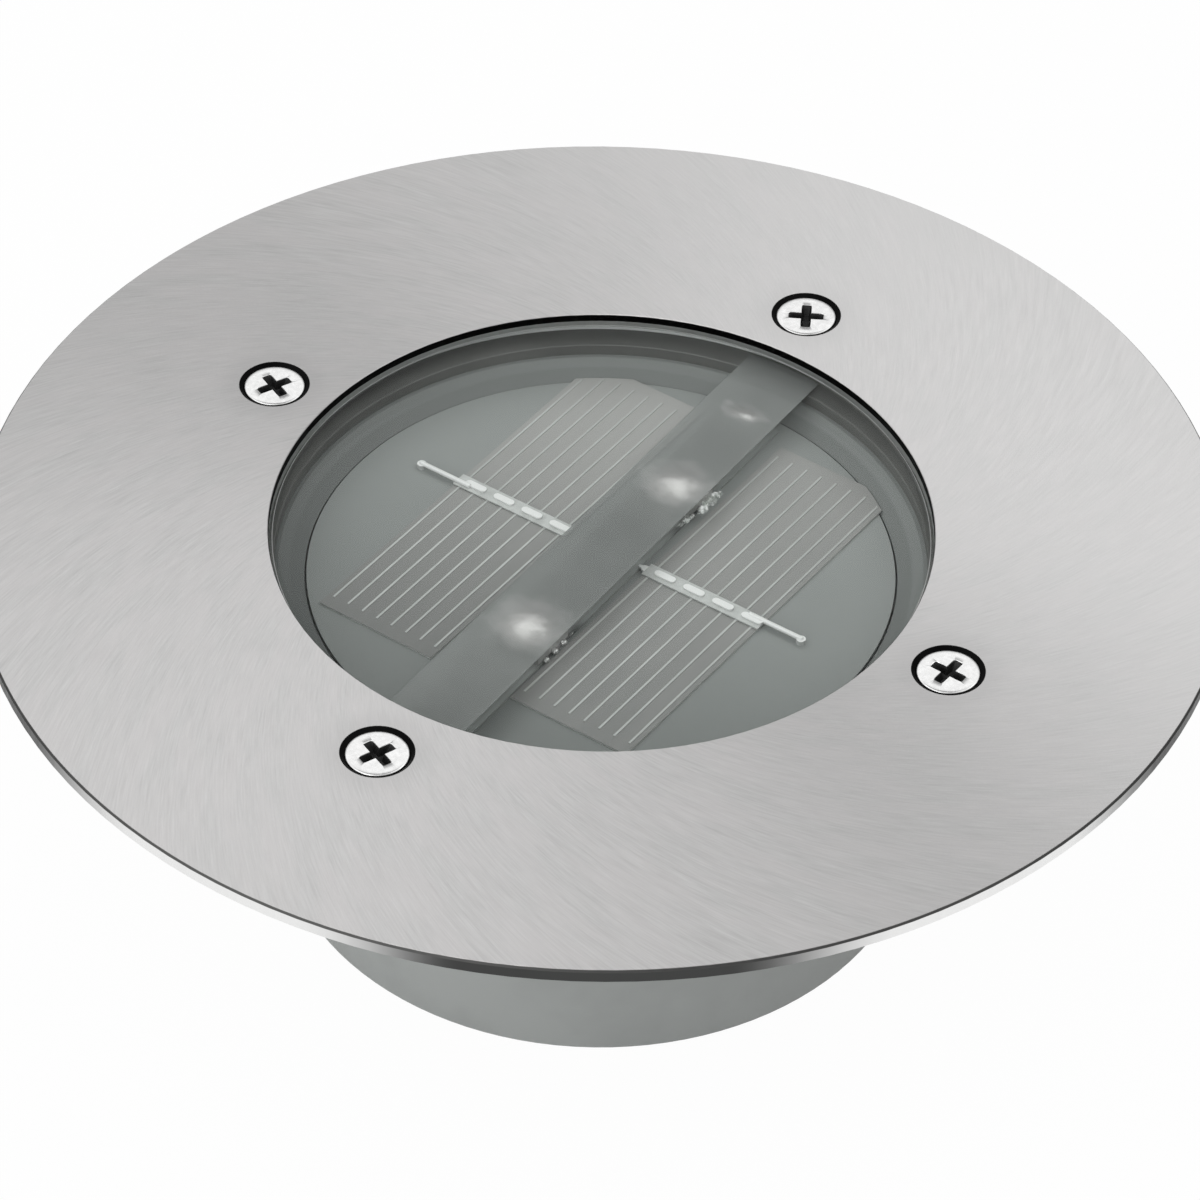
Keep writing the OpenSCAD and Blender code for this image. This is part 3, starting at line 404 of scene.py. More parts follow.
def lamp_strip_board():
    """The lamp row's board, with a painted glow round each lamp, painted light along its edge beside the
    strip and painted shade on that edge beside the lamps.
    """
    mat, net = material("lamp_board")
    spot = net.place()
    u, v = net.row_place(spot)
    slow = net.noise(spot, 0.15, 2.0, 0.5)
    tint = net.tint_by(slow, (0.150, 0.158, 0.154), (0.195, 0.203, 0.198))
    # painted glow round each lamp, and painted light on the edge that shows beside the strip
    tint = net.colour(net.glow_share(spot, 1.1, 2.1), tint, (0.40, 0.405, 0.40))
    lit_edge_start, lit_edge_full, shade_full = 2.0, 2.3, 3.0
    tint = net.colour(net.step(u, lit_edge_start, lit_edge_full), tint, (0.36, 0.375, 0.368))
    # painted shade on the board's edge beside each lamp
    shade_v = 11.6
    beside = net.math("ABSOLUTE", net.minus(net.math("ABSOLUTE", v), shade_v))
    dark = net.times(net.step(beside, 2.0, 5.0, 1.0, 0.0), net.step(u, lit_edge_full, shade_full))
    tint = net.colour(net.times(dark, 0.8), tint, (0.030, 0.032, 0.031))
    net.out(net.shiny(Base_Color=tint, Roughness=net.spread(slow, 0.42, 0.52)))
    return mat


def tinned_wire():
    """Tinned ribbon whose solder runs stand up brighter."""
    mat, net = material("tinned_ribbon")
    spot = net.place()
    z = net.split(spot)[2]
    slow = net.noise(spot, 0.8, 3.0, 0.6)
    fine = net.noise(spot, 5.0, 2.0, 0.6)
    ribbon_t = 0.14
    flat_top = top_of("cell_grid_left") + ribbon_t
    raised = net.step(z, flat_top + 0.02, flat_top + 0.07)
    tint = net.tint_by(slow, (0.50, 0.51, 0.50), (0.62, 0.63, 0.62))
    tint = net.colour(raised, tint, (0.88, 0.88, 0.875))
    net.out(net.shiny(Base_Color=tint, Metallic=0.15, Roughness=net.spread(fine, 0.34, 0.46),
                      Normal=net.bump(fine, 0.15, 0.00003)))
    return mat


def window_clear():
    """Clear polished plastic, seen through without bending, with painted light on its cut sides."""
    mat, net = material("window_clear")
    spot = net.place()
    x, y, z = net.split(spot)
    radius = net.vector("LENGTH", net.join(x, y, 0.0))
    wave = net.noise(spot, 0.05, 2.0)
    normal = net.bump(wave, 0.05, 0.0004)
    gloss = net.gloss(0.03, normal)
    clear = net.clear((0.975, 0.985, 0.98))
    pane = net.blend(net.sheen_share(0.003, normal), clear, gloss)
    # painted light: the cut side of the raised middle is drawn as an opaque pale band
    wall = net.times(net.step(radius, LENS_R - 0.10, LENS_R - 0.05),
                     net.step(z, PLATE_LOW + 0.25, PLATE_LOW + 0.38))
    wall = net.times(wall, net.step(z, LENS_TOP - 0.06, LENS_TOP - 0.02, 1.0, 0.0))
    # and painted light on the side of its flange too
    wall = net.most(wall, net.step(radius, FLANGE_R - 0.12, FLANGE_R - 0.07))
    edge = net.shiny(Base_Color=net.colour(wave, (0.70, 0.71, 0.705), (0.82, 0.83, 0.825)), Roughness=0.35)
    net.out(net.blend(net.times(wall, 0.9), pane, edge))
    return mat


def strip_frosted():
    """Grey frosted strip: it veils what is under it, less so over the lamps, with a painted glow over the
    lamps and painted light towards its far end.
    """
    mat, net = material("strip_frosted")
    spot = net.place()
    slow = net.noise(spot, 0.12, 2.0, 0.5)
    tint = net.tint_by(slow, (0.216, 0.224, 0.220), (0.240, 0.248, 0.244))
    # painted light: paler towards the far end of the row
    tint = net.colour(net.step(net.split(spot)[1], 4.0, 30.0, 0.0, 0.55), tint, (0.300, 0.308, 0.304))
    # painted glow: the frosting is painted paler over the lamps, in soft ragged spots
    painted_glow_spots = net.glow_share(spot, 0.25, 1.60, 2.4)
    tint = net.colour(net.times(painted_glow_spots, 0.70), tint, (0.62, 0.60, 0.60))
    body = net.shiny(Base_Color=tint, Roughness=0.6)
    clear = net.clear((0.97, 0.975, 0.97))
    over_lamp = net.glow_share(spot, 0.35, 1.25)
    share = net.minus(net.ease(slow, 0.77, 0.80), net.times(over_lamp, 0.36))
    # only the upper face is frosted
    frosted = net.step(net.split(spot)[2], STRIP_TOP - 0.02, STRIP_TOP - 0.01)
    net.out(net.blend(net.times(share, frosted), clear, body))
    return mat


def silicon():
    """A grey solar cell with broad faint grains, and painted light and shade."""
    mat, net = material("silicon_cell")
    spot = net.place()
    grains = net.cells(net.scaled(spot, (0.45, 0.12, 0.3)))
    # painted light: paler towards the far end
    share, slow = net.lean(spot, 0.97, -0.12, -20.0, 34.0)
    tint = net.colour(share, (0.222, 0.224, 0.219), (0.385, 0.380, 0.372))
    tint = net.colour(net.times(net.step(grains, 0.3, 0.9), 0.18), tint, (0.345, 0.330, 0.325))
    # painted reflection: the left cell is painted darker at its near end and paler at its far end
    x, y, z = net.split(spot)
    left = net.step(x, -1.0, 1.0, 1.0, 0.0)
    painted_dark_end = net.times(left, net.step(y, -22.0, 16.0, 0.52, 0.0))
    tint = net.colour(painted_dark_end, tint, (0.125, 0.127, 0.124))
    painted_pale_end = net.times(left, net.step(y, 8.0, 26.0, 0.0, 0.38))
    tint = net.colour(painted_pale_end, tint, (0.46, 0.455, 0.445))
    # painted light on the cut sides
    cell_top = top_of("solar_cell_left")
    side = net.step(z, cell_top - 0.05, cell_top - 0.02, 1.0, 0.0)
    tint = net.colour(side, tint, (0.60, 0.61, 0.60))
    net.out(net.shiny(Base_Color=tint, Roughness=net.spread(slow, 0.40, 0.48)))
    return mat


def lamp_grey():
    """The lamp's body, a little paler than the painted glow round it on the board."""
    mat, net = material("lamp_body")
    slow = net.noise(net.place(), 0.6, 2.0)
    tint = net.tint_by(slow, (0.400, 0.395, 0.392), (0.460, 0.454, 0.450))
    net.out(net.shiny(Base_Color=tint, Roughness=net.ease(slow, 0.4, 0.5)))
    return mat


def lamp_glow():
    """Painted glow: a pale cap over a lamp that gives off light of its own and fades out softly towards its
    edge.
    """
    mat, net = material("lamp_painted_glow")
    spot = net.place()
    core = net.glow_share(spot, 0.05, 0.95, 3.6)
    painted_halo = net.glow_share(spot, 0.30, 1.42, 3.6)
    tint = net.colour(core, (0.52, 0.505, 0.505), (0.95, 0.925, 0.925))
    # painted glow: the cap gives off light of its own
    body = net.shiny(Base_Color=tint, Roughness=0.45, Emission_Color=(1.0, 0.975, 0.97),
                     Emission_Strength=0.34)
    clear = net.clear(WHITE)
    net.out(net.blend(net.plus(net.times(core, 0.62), net.times(painted_halo, 0.36)), clear, body))
    mat.cycles.emission_sampling = "NONE"
    return mat


def glass_blob(name, tint, roughness, share):
    """Clear resin or glue: mostly see-through, with painted white glints."""
    mat, net = material(name)
    ripple = net.noise(net.place(), 1.3, 1.5, 0.5)
    normal = net.bump(ripple, 0.6, 0.0002)
    gloss = net.gloss(roughness, normal)
    clear = net.clear(tint)
    blob = net.blend(net.sheen_share(0.045, normal), clear, gloss)
    # painted glints: an opaque near-white shader on the ripple's crests
    painted_glint = net.shiny(Base_Color=net.colour(ripple, (0.86, 0.87, 0.86), WHITE), Roughness=roughness)
    net.out(net.blend(net.step(ripple, 0.50, 0.62, 0.05, share), blob, painted_glint))
    return mat


def circuit_green():
    """Green solder mask with copper tracks that show through it."""
    mat, net = material("circuit_green")
    spot = net.place()
    y = net.split(spot)[1]
    sway = net.times(net.noise(net.scaled(spot, (0.12, 0.0, 0.0)), 1.0, 1.0), 5.0)
    track = net.step(net.math("PINGPONG", net.plus(y, sway), 0.8), 0.28, 0.36)
    fine = net.noise(spot, 6.0, 2.0)
    tint = net.colour(track, (0.012, 0.105, 0.040), (0.030, 0.215, 0.080))
    tint = net.colour(net.times(fine, 0.2), tint, (0.02, 0.16, 0.07))
    net.out(net.shiny(Base_Color=tint, Roughness=net.ease(fine, 0.28, 0.4),
                      Normal=net.bump(track, 0.4, 0.00004)))
    return mat


def battery_skin():
    """Green wrapper with a pale band, and bare metal at the ends."""
    mat, net = material("battery_skin")
    spot = net.place()
    x = net.split(spot)[0]
    fine = net.noise(spot, 4.0, 3.0)
    # where the band and the bare ends begin and end along X
    band_from, band_to, minus_end, plus_end = (17.8, 17.9), (19.6, 19.7), (-19.90, -19.84), (23.45, 23.5)
    wrap = net.tint_by(fine, (0.030, 0.165, 0.062), (0.045, 0.210, 0.085))
    band = net.times(net.step(x, *band_from), net.step(x, *band_to, 1.0, 0.0))
    wrap = net.colour(band, wrap, (0.62, 0.63, 0.60))
    bare = net.most(net.step(x, *plus_end), net.step(x, *minus_end, 1.0, 0.0))
    tint = net.colour(bare, wrap, (0.70, 0.70, 0.69))
    net.out(net.shiny(Base_Color=tint, Metallic=bare, Roughness=net.ease(fine, 0.26, 0.38),
                      Normal=net.bump(fine, 0.1, 0.00002)))
    return mat


# Meshes

# Vertices closer than this are joined, in metres, and edges sharper than this many degrees stay sharp
WELD, SHARP_FROM = 1e-7, 38


def finish_mesh(name, bm, mats, body, weld=True):
    """Turns a bmesh into a smooth piece that rides on a body and takes a material slot."""
    if weld:
        bmesh.ops.remove_doubles(bm, verts=bm.verts, dist=WELD)
    bmesh.ops.recalc_face_normals(bm, faces=bm.faces)
    mesh = bpy.data.meshes.new(name)
    bm.to_mesh(mesh)
    bm.free()
    for mat in mats:
        mesh.materials.append(mat)
    mesh.polygons.foreach_set("use_smooth", [True] * len(mesh.polygons))
    mesh.set_sharp_from_angle(angle=math.radians(SHARP_FROM))
    obj = bpy.data.objects.new(name, mesh)
    bpy.context.scene.collection.objects.link(obj)
    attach(obj, body)
    return obj


def mm(*p):
    return Vector(p) * MM


def grid_faces(bm, rows, closed=True, mat=0):
    """Faces between rows of vertices, each row a list of the same length."""
    for low, high in zip(rows, rows[1:]):
        n = len(low)
        for i in range(n if closed else n - 1):
            j = (i + 1) % n
            quad = [low[i], low[j], high[j], high[i]]
            corners = [v for k, v in enumerate(quad) if v not in quad[:k]]
            if len(corners) >= 3:
                bm.faces.new(corners).material_index = mat


def lathe(bm, profile, centre, steps):
    """Turns (radius, height) points round an upright axis through centre, all in millimetres."""
    rows = []
    for r, z in profile:
        points = [(centre[0] + r * math.cos(2 * math.pi * k / steps),
                   centre[1] + r * math.sin(2 * math.pi * k / steps), centre[2] + z) for k in range(steps)]
        rows.append([bm.verts.new(mm(*p)) for p in points] if r else [bm.verts.new(mm(*points[0]))] * steps)
    grid_faces(bm, rows)


# A cover screw, in millimetres. The recess's walls from low to high: half length of an arm, depth under
# the head's top, how sharp the corners are, and how much wider than the rest the arms are
ARM_SHARE = 0.27
RECESS_FLOOR = 1.12
RECESS_WALLS = ((1.05, 0.95, 9, 1.0), (1.48, 0.42, 12, 1.0), (1.74, 0.06, 12, 1.0), (1.83, 0.008, 10, 1.04))
# The head's rounded rim: radius and depth under its top
HEAD_RIM = ((2.45, 0.0), (2.74, 0.006), (2.88, 0.03), (2.96, 0.075), (2.985, 0.13), (2.93, 0.18))
NECK_R, CORE_R, POINT_R, POINT_H = 1.22, 1.19, 0.62, 0.9
# The thread: pitch, height of its ridge, and the ridge's steepness, where 2 would fill the pitch
PITCH, RIDGE_H, RIDGE_STEEP = 0.62, 0.24, 2.6
# The thread fades in under the neck, and fades out above a smooth stretch at the tip
FADE_IN, FADE_OUT, SMOOTH_TIP = 0.9, 1.2, 0.5
THREAD_LEVELS = 150


def cross_spokes():
    """Directions, in radians, at which a cross recess is drawn: close together at its corners."""
    corner = math.atan(ARM_SHARE)
    side = [corner + (math.pi / 4 - corner) * k for k in (0.08, 0.25, 0.45, 0.65, 0.82)]
    half = [0.0, corner * 0.45, corner * 0.8, corner, *side]
    quarter = [-b for b in half[:0:-1]] + half
    return [b + arm * math.pi / 2 for arm in range(4) for b in [*quarter, math.pi / 4]]


def cross_reach(spokes, size, ratio, sharp):
    """The distance to the wall of a cross recess along each spoke."""
    out = []
    for angle in spokes:
        b = abs((angle + math.pi / 4) % (math.pi / 2) - math.pi / 4)
        tip = size / math.cos(b)
        side = size * ratio / max(math.sin(b), 1e-6)
        out.append((tip ** -sharp + side ** -sharp) ** (-1 / sharp))
    return out


def thread_radii(spokes, z, neck_z):
    """The shank's radius along each spoke: a core whose surface rises into one helical ridge."""
    over_tip = z - SCREW_TIP
    fade = min(1.0, (neck_z - z) / FADE_IN) * min(1.0, max(0.0, (over_tip - SMOOTH_TIP) / FADE_OUT))
    core = CORE_R if over_tip > POINT_H else POINT_R + over_tip / POINT_H * (CORE_R - POINT_R)
    radii = []
    for s in spokes:
        phase = (z / PITCH - s / (2 * math.pi)) % 1.0
        radii.append(core + fade * RIDGE_H * max(0.0, 1.0 - abs(phase - 0.5) * RIDGE_STEEP))
    return radii


def build_screw(number, mats):
    """A countersunk screw with a rounded rim, a tapered cross recess and a true helical thread."""
    a, cx, cy = screw_place(number)
    # the recess's turn is counted from the screw's own radius, as in the source
    turn = a + math.radians(CROSS_TURNS[number - 1])
    spokes = cross_spokes()
    bm = bmesh.new()

    def ring(radii, z):
        return [bm.verts.new(mm(cx + r * math.cos(turn + s), cy + r * math.sin(turn + s), z))
                for s, r in zip(spokes, radii)]

    def point(z):
        return [bm.verts.new(mm(cx, cy, z))] * len(spokes)

    floor = point(HEAD_TOP - RECESS_FLOOR)
    low, mid, lip, face = [ring(cross_reach(spokes, size, ARM_SHARE * wider, sharp), HEAD_TOP - depth)
                           for size, depth, sharp, wider in RECESS_WALLS]
    grid_faces(bm, [floor, low, mid, lip], mat=1)
    neck_z = HEAD_TOP - HEAD_H
    rim = [ring([r] * len(spokes), HEAD_TOP - depth) for r, depth in HEAD_RIM]
    rows = [lip, face, *rim, ring([NECK_R] * len(spokes), neck_z)]
    for k in range(1, THREAD_LEVELS + 1):
        z = neck_z + (SCREW_TIP - neck_z) * k / THREAD_LEVELS
        rows.append(ring(thread_radii(spokes, z, neck_z), z))
    grid_faces(bm, [*rows, point(SCREW_TIP)])
    node = f"cover_screw_{number}"
    obj = finish_mesh(f"screw_{number}_detailed", bm, mats, node, weld=False)
    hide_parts(node)


def blob_mesh(bm, centre, size, seed, bumps, rings, steps, turn=0.0, flat_low=True):
    """A lumpy drop, in millimetres. A flat one keeps little of its lower half."""
    rnd = random.Random(seed)
    waves = [(rnd.uniform(1, 5), rnd.uniform(1, 5), rnd.uniform(0, 6.28), rnd.uniform(0.4, 1.0))
             for _ in range(7)]
    flat_share = 0.12
    c, s = math.cos(turn), math.sin(turn)
    rows = []
    for i in range(rings + 1):
        p = math.pi * i / rings
        row = []
        for k in range(steps):
            t = 2 * math.pi * k / steps
            lump = 1 + bumps * sum(w * math.sin(m * t + n * p + shift) for m, n, shift, w in waves) / 4
            lump = lump if 0 < i < rings else 1.0
            x = size[0] * math.sin(p) * math.cos(t) * lump
            y = size[1] * math.sin(p) * math.sin(t) * lump
            z = size[2] * math.cos(p) * (flat_share if flat_low and math.cos(p) <= 0 else lump)
            row.append((centre[0] + x * c - y * s, centre[1] + x * s + y * c, centre[2] + z))
        if i in (0, rings):
            rows.append([bm.verts.new(mm(*row[0]))] * steps)
        else:
            rows.append([bm.verts.new(mm(*point)) for point in row])
    grid_faces(bm, rows)


def in_row(u, v, z):
    """A point of the lamp row's own frame, in the model's frame."""
    a = math.radians(ROW_TURN)
    return (u * math.cos(a) - v * math.sin(a), u * math.sin(a) + v * math.cos(a), z)


def build_strip():
    """The frosted strip in even faces, its top just clear of the window."""
    columns, lengths = 12, 72
    bm = bmesh.new()

    def layer(z):
        rows = []
        for i in range(lengths + 1):
            row = []
            for k in range(columns + 1):
                u = STRIP_HALF * (2 * k / columns - 1)
                end = math.sqrt(STRIP_END_R ** 2 - u * u)
                row.append(bm.verts.new(mm(*in_row(u, end * (2 * i / lengths - 1), z))))
            rows.append(row)
        return rows

    top, under = layer(STRIP_TOP), layer(low_of("diffuser_strip"))
    grid_faces(bm, top, closed=False)
    grid_faces(bm, [list(reversed(row)) for row in under], closed=False)
    for line in (0, -1):
        grid_faces(bm, [top[line], under[line]], closed=False)
        grid_faces(bm, [[row[line] for row in top], [row[line] for row in under]], closed=False)
    obj = finish_mesh("diffuser_strip_fine", bm, [MATS["strip"]], UNIT)
    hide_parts("diffuser_strip")


def build_seal():
    """The rubber ring under the window, with eased edges and its top just clear of the window."""
    low, shoulder, steps = low_of("lens_seal"), SEAL_TOP - SEAL_EASE, 180
    bm = bmesh.new()
    profile = [(SEAL_IN_R, low), (SEAL_IN_R, shoulder), (SEAL_IN_R + SEAL_EASE, SEAL_TOP),
               (FLANGE_R - SEAL_EASE, SEAL_TOP), (FLANGE_R, shoulder), (FLANGE_R, low), (SEAL_IN_R, low)]
    lathe(bm, profile, (0.0, 0.0, 0.0), steps)
    obj = finish_mesh("lens_seal_eased", bm, [MATS["seal"]], UNIT)
    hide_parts("lens_seal")


# The cap of painted glow over a lamp, as shares of its half sizes and of its height
CAP_SHARES = ((1.45, 0.0), (1.3, 0.25), (1.0, 0.5), (0.7, 0.75), (0.4, 0.93), (0.15, 1.0))
CAP_STEPS = 40
# The lamps' solder wings: their middle across the row, how far out from it, how far along the row, the
# step between them and the size of each
WING_MID_U, WING_U, WING_V, WING_STEP, WING_SIZE = 0.5, 2.72, 12.6, 1.5, (0.36, 0.42, 0.34)
# Glue beside the lamps: from and to along the row, place across it, size and how many drops
GLUE_DROPS = {"back": (10.7, 13.6, 4.45, 0.46, 8), "back_tail": (7.6, 9.2, 4.1, 0.26, 5),
              "front": (-15.6, -11.3, 4.15, 0.13, 4)}
GLUE_DEPTH = 0.26
# The crimped end of the right ribbon: its place, its outline and its layers as shares and heights
STUB_X, STUB_Y = 3.85, 2.1
STUB_OUTLINE = ((0.0, -0.42), (-0.35, -0.36), (-0.52, -0.14), (-0.95, -0.10),
                (-1.0, 0.22), (-0.6, 0.30), (-0.4, 0.46), (0.0, 0.50))
STUB_LAYERS = ((1.0, 0.0), (1.0, 0.12), (0.9, 0.2))
# Solder joints on the circuit board, and the outline of one
BOARD_JOINTS = ((10.6, 9.95), (-10.6, 9.95), (15.6, 9.95), (-15.6, 9.95), (4.4, 9.95), (-4.4, 9.95),
                (-1.3, 10.6), (0.0, 10.6), (1.3, 10.6), (7.4, 14.35), (9.4, 14.35), (-3.4, 14.35),
                (1.0, 14.35), (4.0, 9.3), (4.0, 14.0), (4.0, 19.2))
JOINT_OUTLINE = ((0.0, 0.0), (0.78, 0.0), (0.70, 0.10), (0.52, 0.26), (0.34, 0.42), (0.0, 0.50))
# Marks that the mould leaves: the gate's and an ejector's outline, and the ejectors' circle
GATE_OUTLINE = ((0.0, 0.02), (0.9, 0.02), (1.1, 0.0), (1.9, 0.0), (2.05, 0.02), (2.2, 0.0))
EJECTOR_OUTLINE = ((0.0, 0.03), (1.5, 0.03), (1.7, 0.0))
EJECTOR_CIRCLE_R, EJECTORS = 24.5, 6


def build_lamp_caps():
    """The caps of painted glow over each lamp and of painted highlight in the sensor, and the lamps' solder
    wings.
    """
    strip_low = low_of("diffuser_strip")
    over_lamp = top_of("led_front") + 0.02
    lamp_rise = strip_low - 0.1 - over_lamp
    levels = (("back", over_lamp, lamp_rise), ("front", over_lamp, lamp_rise),
              ("sensor", strip_low - 0.22, 0.12))
    for (name, low, rise), ((u, v), (half_u, half_v)) in zip(levels, PAINTED_GLOWS):
        bm = bmesh.new()
        rows = []
        for share, up in CAP_SHARES:
            row = []
            for k in range(CAP_STEPS):
                t = 2 * math.pi * k / CAP_STEPS
                at_u, at_v = u + half_u * share * math.cos(t), v + half_v * share * math.sin(t)
                row.append(bm.verts.new(mm(*in_row(at_u, at_v, low + rise * up))))
            rows.append(row)
        rows.append([bm.verts.new(mm(*in_row(u, v, low + rise)))] * CAP_STEPS)
        grid_faces(bm, rows)
        finish_mesh(f"lamp_painted_glow_{name}", bm, [MATS["painted_glow"]], UNIT)
    board = top_of("led_board") + 0.02
    first_seed = 11
    for name, end in (("front", -1), ("back", 1)):
        bm = bmesh.new()
        for side in (-1, 1):
            for k in (-1, 0, 1):
                middle = in_row(WING_MID_U + side * WING_U, end * WING_V + WING_STEP * k, board)
                blob_mesh(bm, middle, WING_SIZE, first_seed + k, bumps=0.1, rings=8, steps=14)
        finish_mesh(f"lamp_solder_{name}", bm, [MATS["solder"]], UNIT)


def build_glue():
    """Crinkled clear glue along the strip's right edge beside each lamp."""
    rnd = random.Random(5)
    z, first_seed = low_of("diffuser_strip") - GLUE_DEPTH, 40
    for name, (v_from, v_to, u, size, count) in GLUE_DROPS.items():
        bm = bmesh.new()
        for k in range(count):
            v = v_from + (v_to - v_from) * k / (count - 1)
            s = size * rnd.uniform(0.7, 1.1)
            blob_mesh(bm, in_row(u + rnd.uniform(-0.15, 0.15), v, z), (s * 0.9, s * 1.5, s * 0.7),
                      first_seed + k, bumps=0.5, rings=12, steps=22, turn=rnd.uniform(-0.6, 0.6),
                      flat_low=False)
        finish_mesh(f"glue_bead_{name}", bm, [MATS["glue"]], UNIT)


def build_ribbon_stub():
    """The short crimped end that the right ribbon shows at the strip."""
    low = top_of("cell_grid_right")
    bm = bmesh.new()
    rows = [[bm.verts.new(mm(STUB_X + x * share, STUB_Y + y * share, low + height)) for x, y in STUB_OUTLINE]
            for share, height in STUB_LAYERS]
    grid_faces(bm, rows)
    bm.faces.new(rows[-1])
    bm.faces.new(list(reversed(rows[0])))
    finish_mesh("ribbon_stub", bm, [MATS["tinned"]], UNIT)


def build_solder():
    """Solder joints where wires and parts meet the circuit board."""
    bm = bmesh.new()
    for x, y in BOARD_JOINTS:
        lathe(bm, JOINT_OUTLINE, (x, y, top_of("circuit_board")), 18)
    finish_mesh("board_solder", bm, [MATS["solder"]], UNIT)


def build_base_marks():
    """Gate mark and ejector rings that the mould leaves in the pot's floor."""
    bm = bmesh.new()
    lathe(bm, GATE_OUTLINE, (0.0, 0.0, POT_FLOOR), 40)
    for k in range(EJECTORS):
        a = 2 * math.pi * (k + 0.5) / EJECTORS
        x, y = EJECTOR_CIRCLE_R * math.cos(a), EJECTOR_CIRCLE_R * math.sin(a)
        lathe(bm, EJECTOR_OUTLINE, (x, y, POT_FLOOR), 28)
    finish_mesh("mould_marks", bm, [MATS["pot"]], "housing")


# The scene

MATS = {
    "plate": plate_steel(),
    "screw": screw_steel(),
    "recess": recess_painted_shade(),
    "window": window_clear(),
    "strip": strip_frosted(),
    "seal": plastic("seal_rubber", (0.134, 0.135, 0.130), (0.166, 0.167, 0.161), (0.45, 0.55), strength=0),
    "pot": plastic("pot_plastic", (0.290, 0.304, 0.297), (0.335, 0.350, 0.342), (0.42, 0.55), 4.0,
                   strength=0.12),
    "tray": cast_face("tray_plastic", (0.112, 0.119, 0.116), (0.238, 0.249, 0.244), 0.80, 0.55,
                      (34.62, 34.86)),
    "panel": cast_face("panel_face", (0.192, 0.203, 0.198), (0.328, 0.342, 0.336), 0.88, 0.42),
    "cell": silicon(),
    "silver": plastic("silver_print", (0.46, 0.47, 0.46), (0.56, 0.57, 0.56), (0.4, 0.5),
                      metallic=0.15, strength=0.1),
    "tinned": tinned_wire(),
    "lamp_board": lamp_strip_board(),
    "lamp": lamp_grey(),
    "painted_glow": lamp_glow(),
    "dome": plastic("sensor_dome", (0.40, 0.406, 0.40), (0.46, 0.466, 0.46), (0.2, 0.3), strength=0),
    "glue": glass_blob("clear_glue", (0.94, 0.95, 0.94), 0.06, 0.75),
    "solder": plastic("solder", (0.55, 0.55, 0.54), (0.70, 0.70, 0.69), (0.2, 0.35), 3.0, metallic=0.9),
    "unit": plastic("unit_plastic", (0.018, 0.018, 0.019), (0.034, 0.034, 0.036), (0.42, 0.58), 5.0,
                    0.00003, 0.4),
    "zinc": plastic("plated_steel", (0.52, 0.52, 0.52), (0.66, 0.66, 0.66), (0.25, 0.4), 4.0, metallic=1.0),
    "green": circuit_green(),
    "chip": plastic("chip_black", (0.016, 0.016, 0.017), (0.030, 0.030, 0.031), (0.5, 0.65), 9.0),
    "ferrite": plastic("ferrite", (0.035, 0.032, 0.030), (0.065, 0.060, 0.056), (0.45, 0.6), 7.0),
    "can": plastic("capacitor_sleeve", (0.020, 0.030, 0.10), (0.035, 0.05, 0.15), (0.25, 0.38), 4.0),
    "tan": plastic("resistor_lacquer", (0.46, 0.34, 0.20), (0.58, 0.45, 0.29), (0.3, 0.45), 4.0),
    "battery": battery_skin(),
    "nickel": plastic("nickel_steel", (0.50, 0.50, 0.48), (0.62, 0.62, 0.60), (0.22, 0.36), 4.0,
                      metallic=1.0),
    "red": plastic("wire_red", (0.42, 0.016, 0.012), (0.55, 0.030, 0.022), (0.35, 0.45), 3.0),
    "black": plastic("wire_black", (0.014, 0.014, 0.014), (0.028, 0.028, 0.028), (0.35, 0.45), 3.0),
    "white": plastic("wire_white", (0.58, 0.58, 0.56), (0.70, 0.70, 0.68), (0.35, 0.45), 3.0),
}

LOOKS = {
    "plate": "cover_plate", "window": "lens", "strip": "diffuser_strip", "seal": "lens_seal unit_seal",
    "pot": "housing", "tray": "panel_tray", "panel": "panel_board",
    "cell": "solar_cell_left solar_cell_right",
    "silver": "cell_grid_left cell_grid_right", "tinned": "cell_ribbon_left cell_ribbon_right",
    "lamp_board": "led_board", "lamp": "led_front led_back", "dome": "light_sensor",
    "unit": "unit_case battery_lid", "zinc": "case_screws board_screws", "green": "circuit_board",
    "chip": "driver_chip switch_knob", "ferrite": "inductor", "can": "capacitor", "tan": "resistors",
    "battery": "battery", "nickel": "battery_spring minus_contact plus_contact switch_body",
    "red": "battery_wire_red", "black": "battery_wire_black switch_wires", "white": "cell_wires led_wires",
}
for look, names in LOOKS.items():
    for name in names.split():
        mesh = nodes[name].data
        mesh.materials.clear()
        mesh.materials.append(MATS[look])
        mesh.polygons.foreach_set("material_index", [0] * len(mesh.polygons))

for screw_number in range(1, 5):
    build_screw(screw_number, [MATS["screw"], MATS["recess"]])
build_strip()
build_seal()
build_lamp_caps()
build_glue()
build_ribbon_stub()
build_solder()
build_base_marks()

# The floor: white for the camera, with the object's shadow kept faint
FLOOR_HALF, FLOOR_Z = 3.0, -0.0002
floor_mesh = bpy.data.meshes.new("floor")
floor_corners = [(x * FLOOR_HALF, y * FLOOR_HALF, FLOOR_Z) for x, y in ((-1, -1), (1, -1), (1, 1), (-1, 1))]
floor_mesh.from_pydata(floor_corners, [], [(0, 1, 2, 3)])
floor = bpy.data.objects.new("floor", floor_mesh)
bpy.context.scene.collection.objects.link(floor)
floor_mat, net = material("floor_white")
path = net.add("ShaderNodeLightPath").outputs
seen = net.most(path["Is Camera Ray"], net.most(path["Is Glossy Ray"], path["Is Transmission Ray"]))
paper = net.noise(net.place(), 0.02, 2.0)
matt = net.add("ShaderNodeBsdfDiffuse", {
    "Color": net.colour(paper, (0.89, 0.89, 0.89), (0.91, 0.91, 0.91))}).outputs[0]
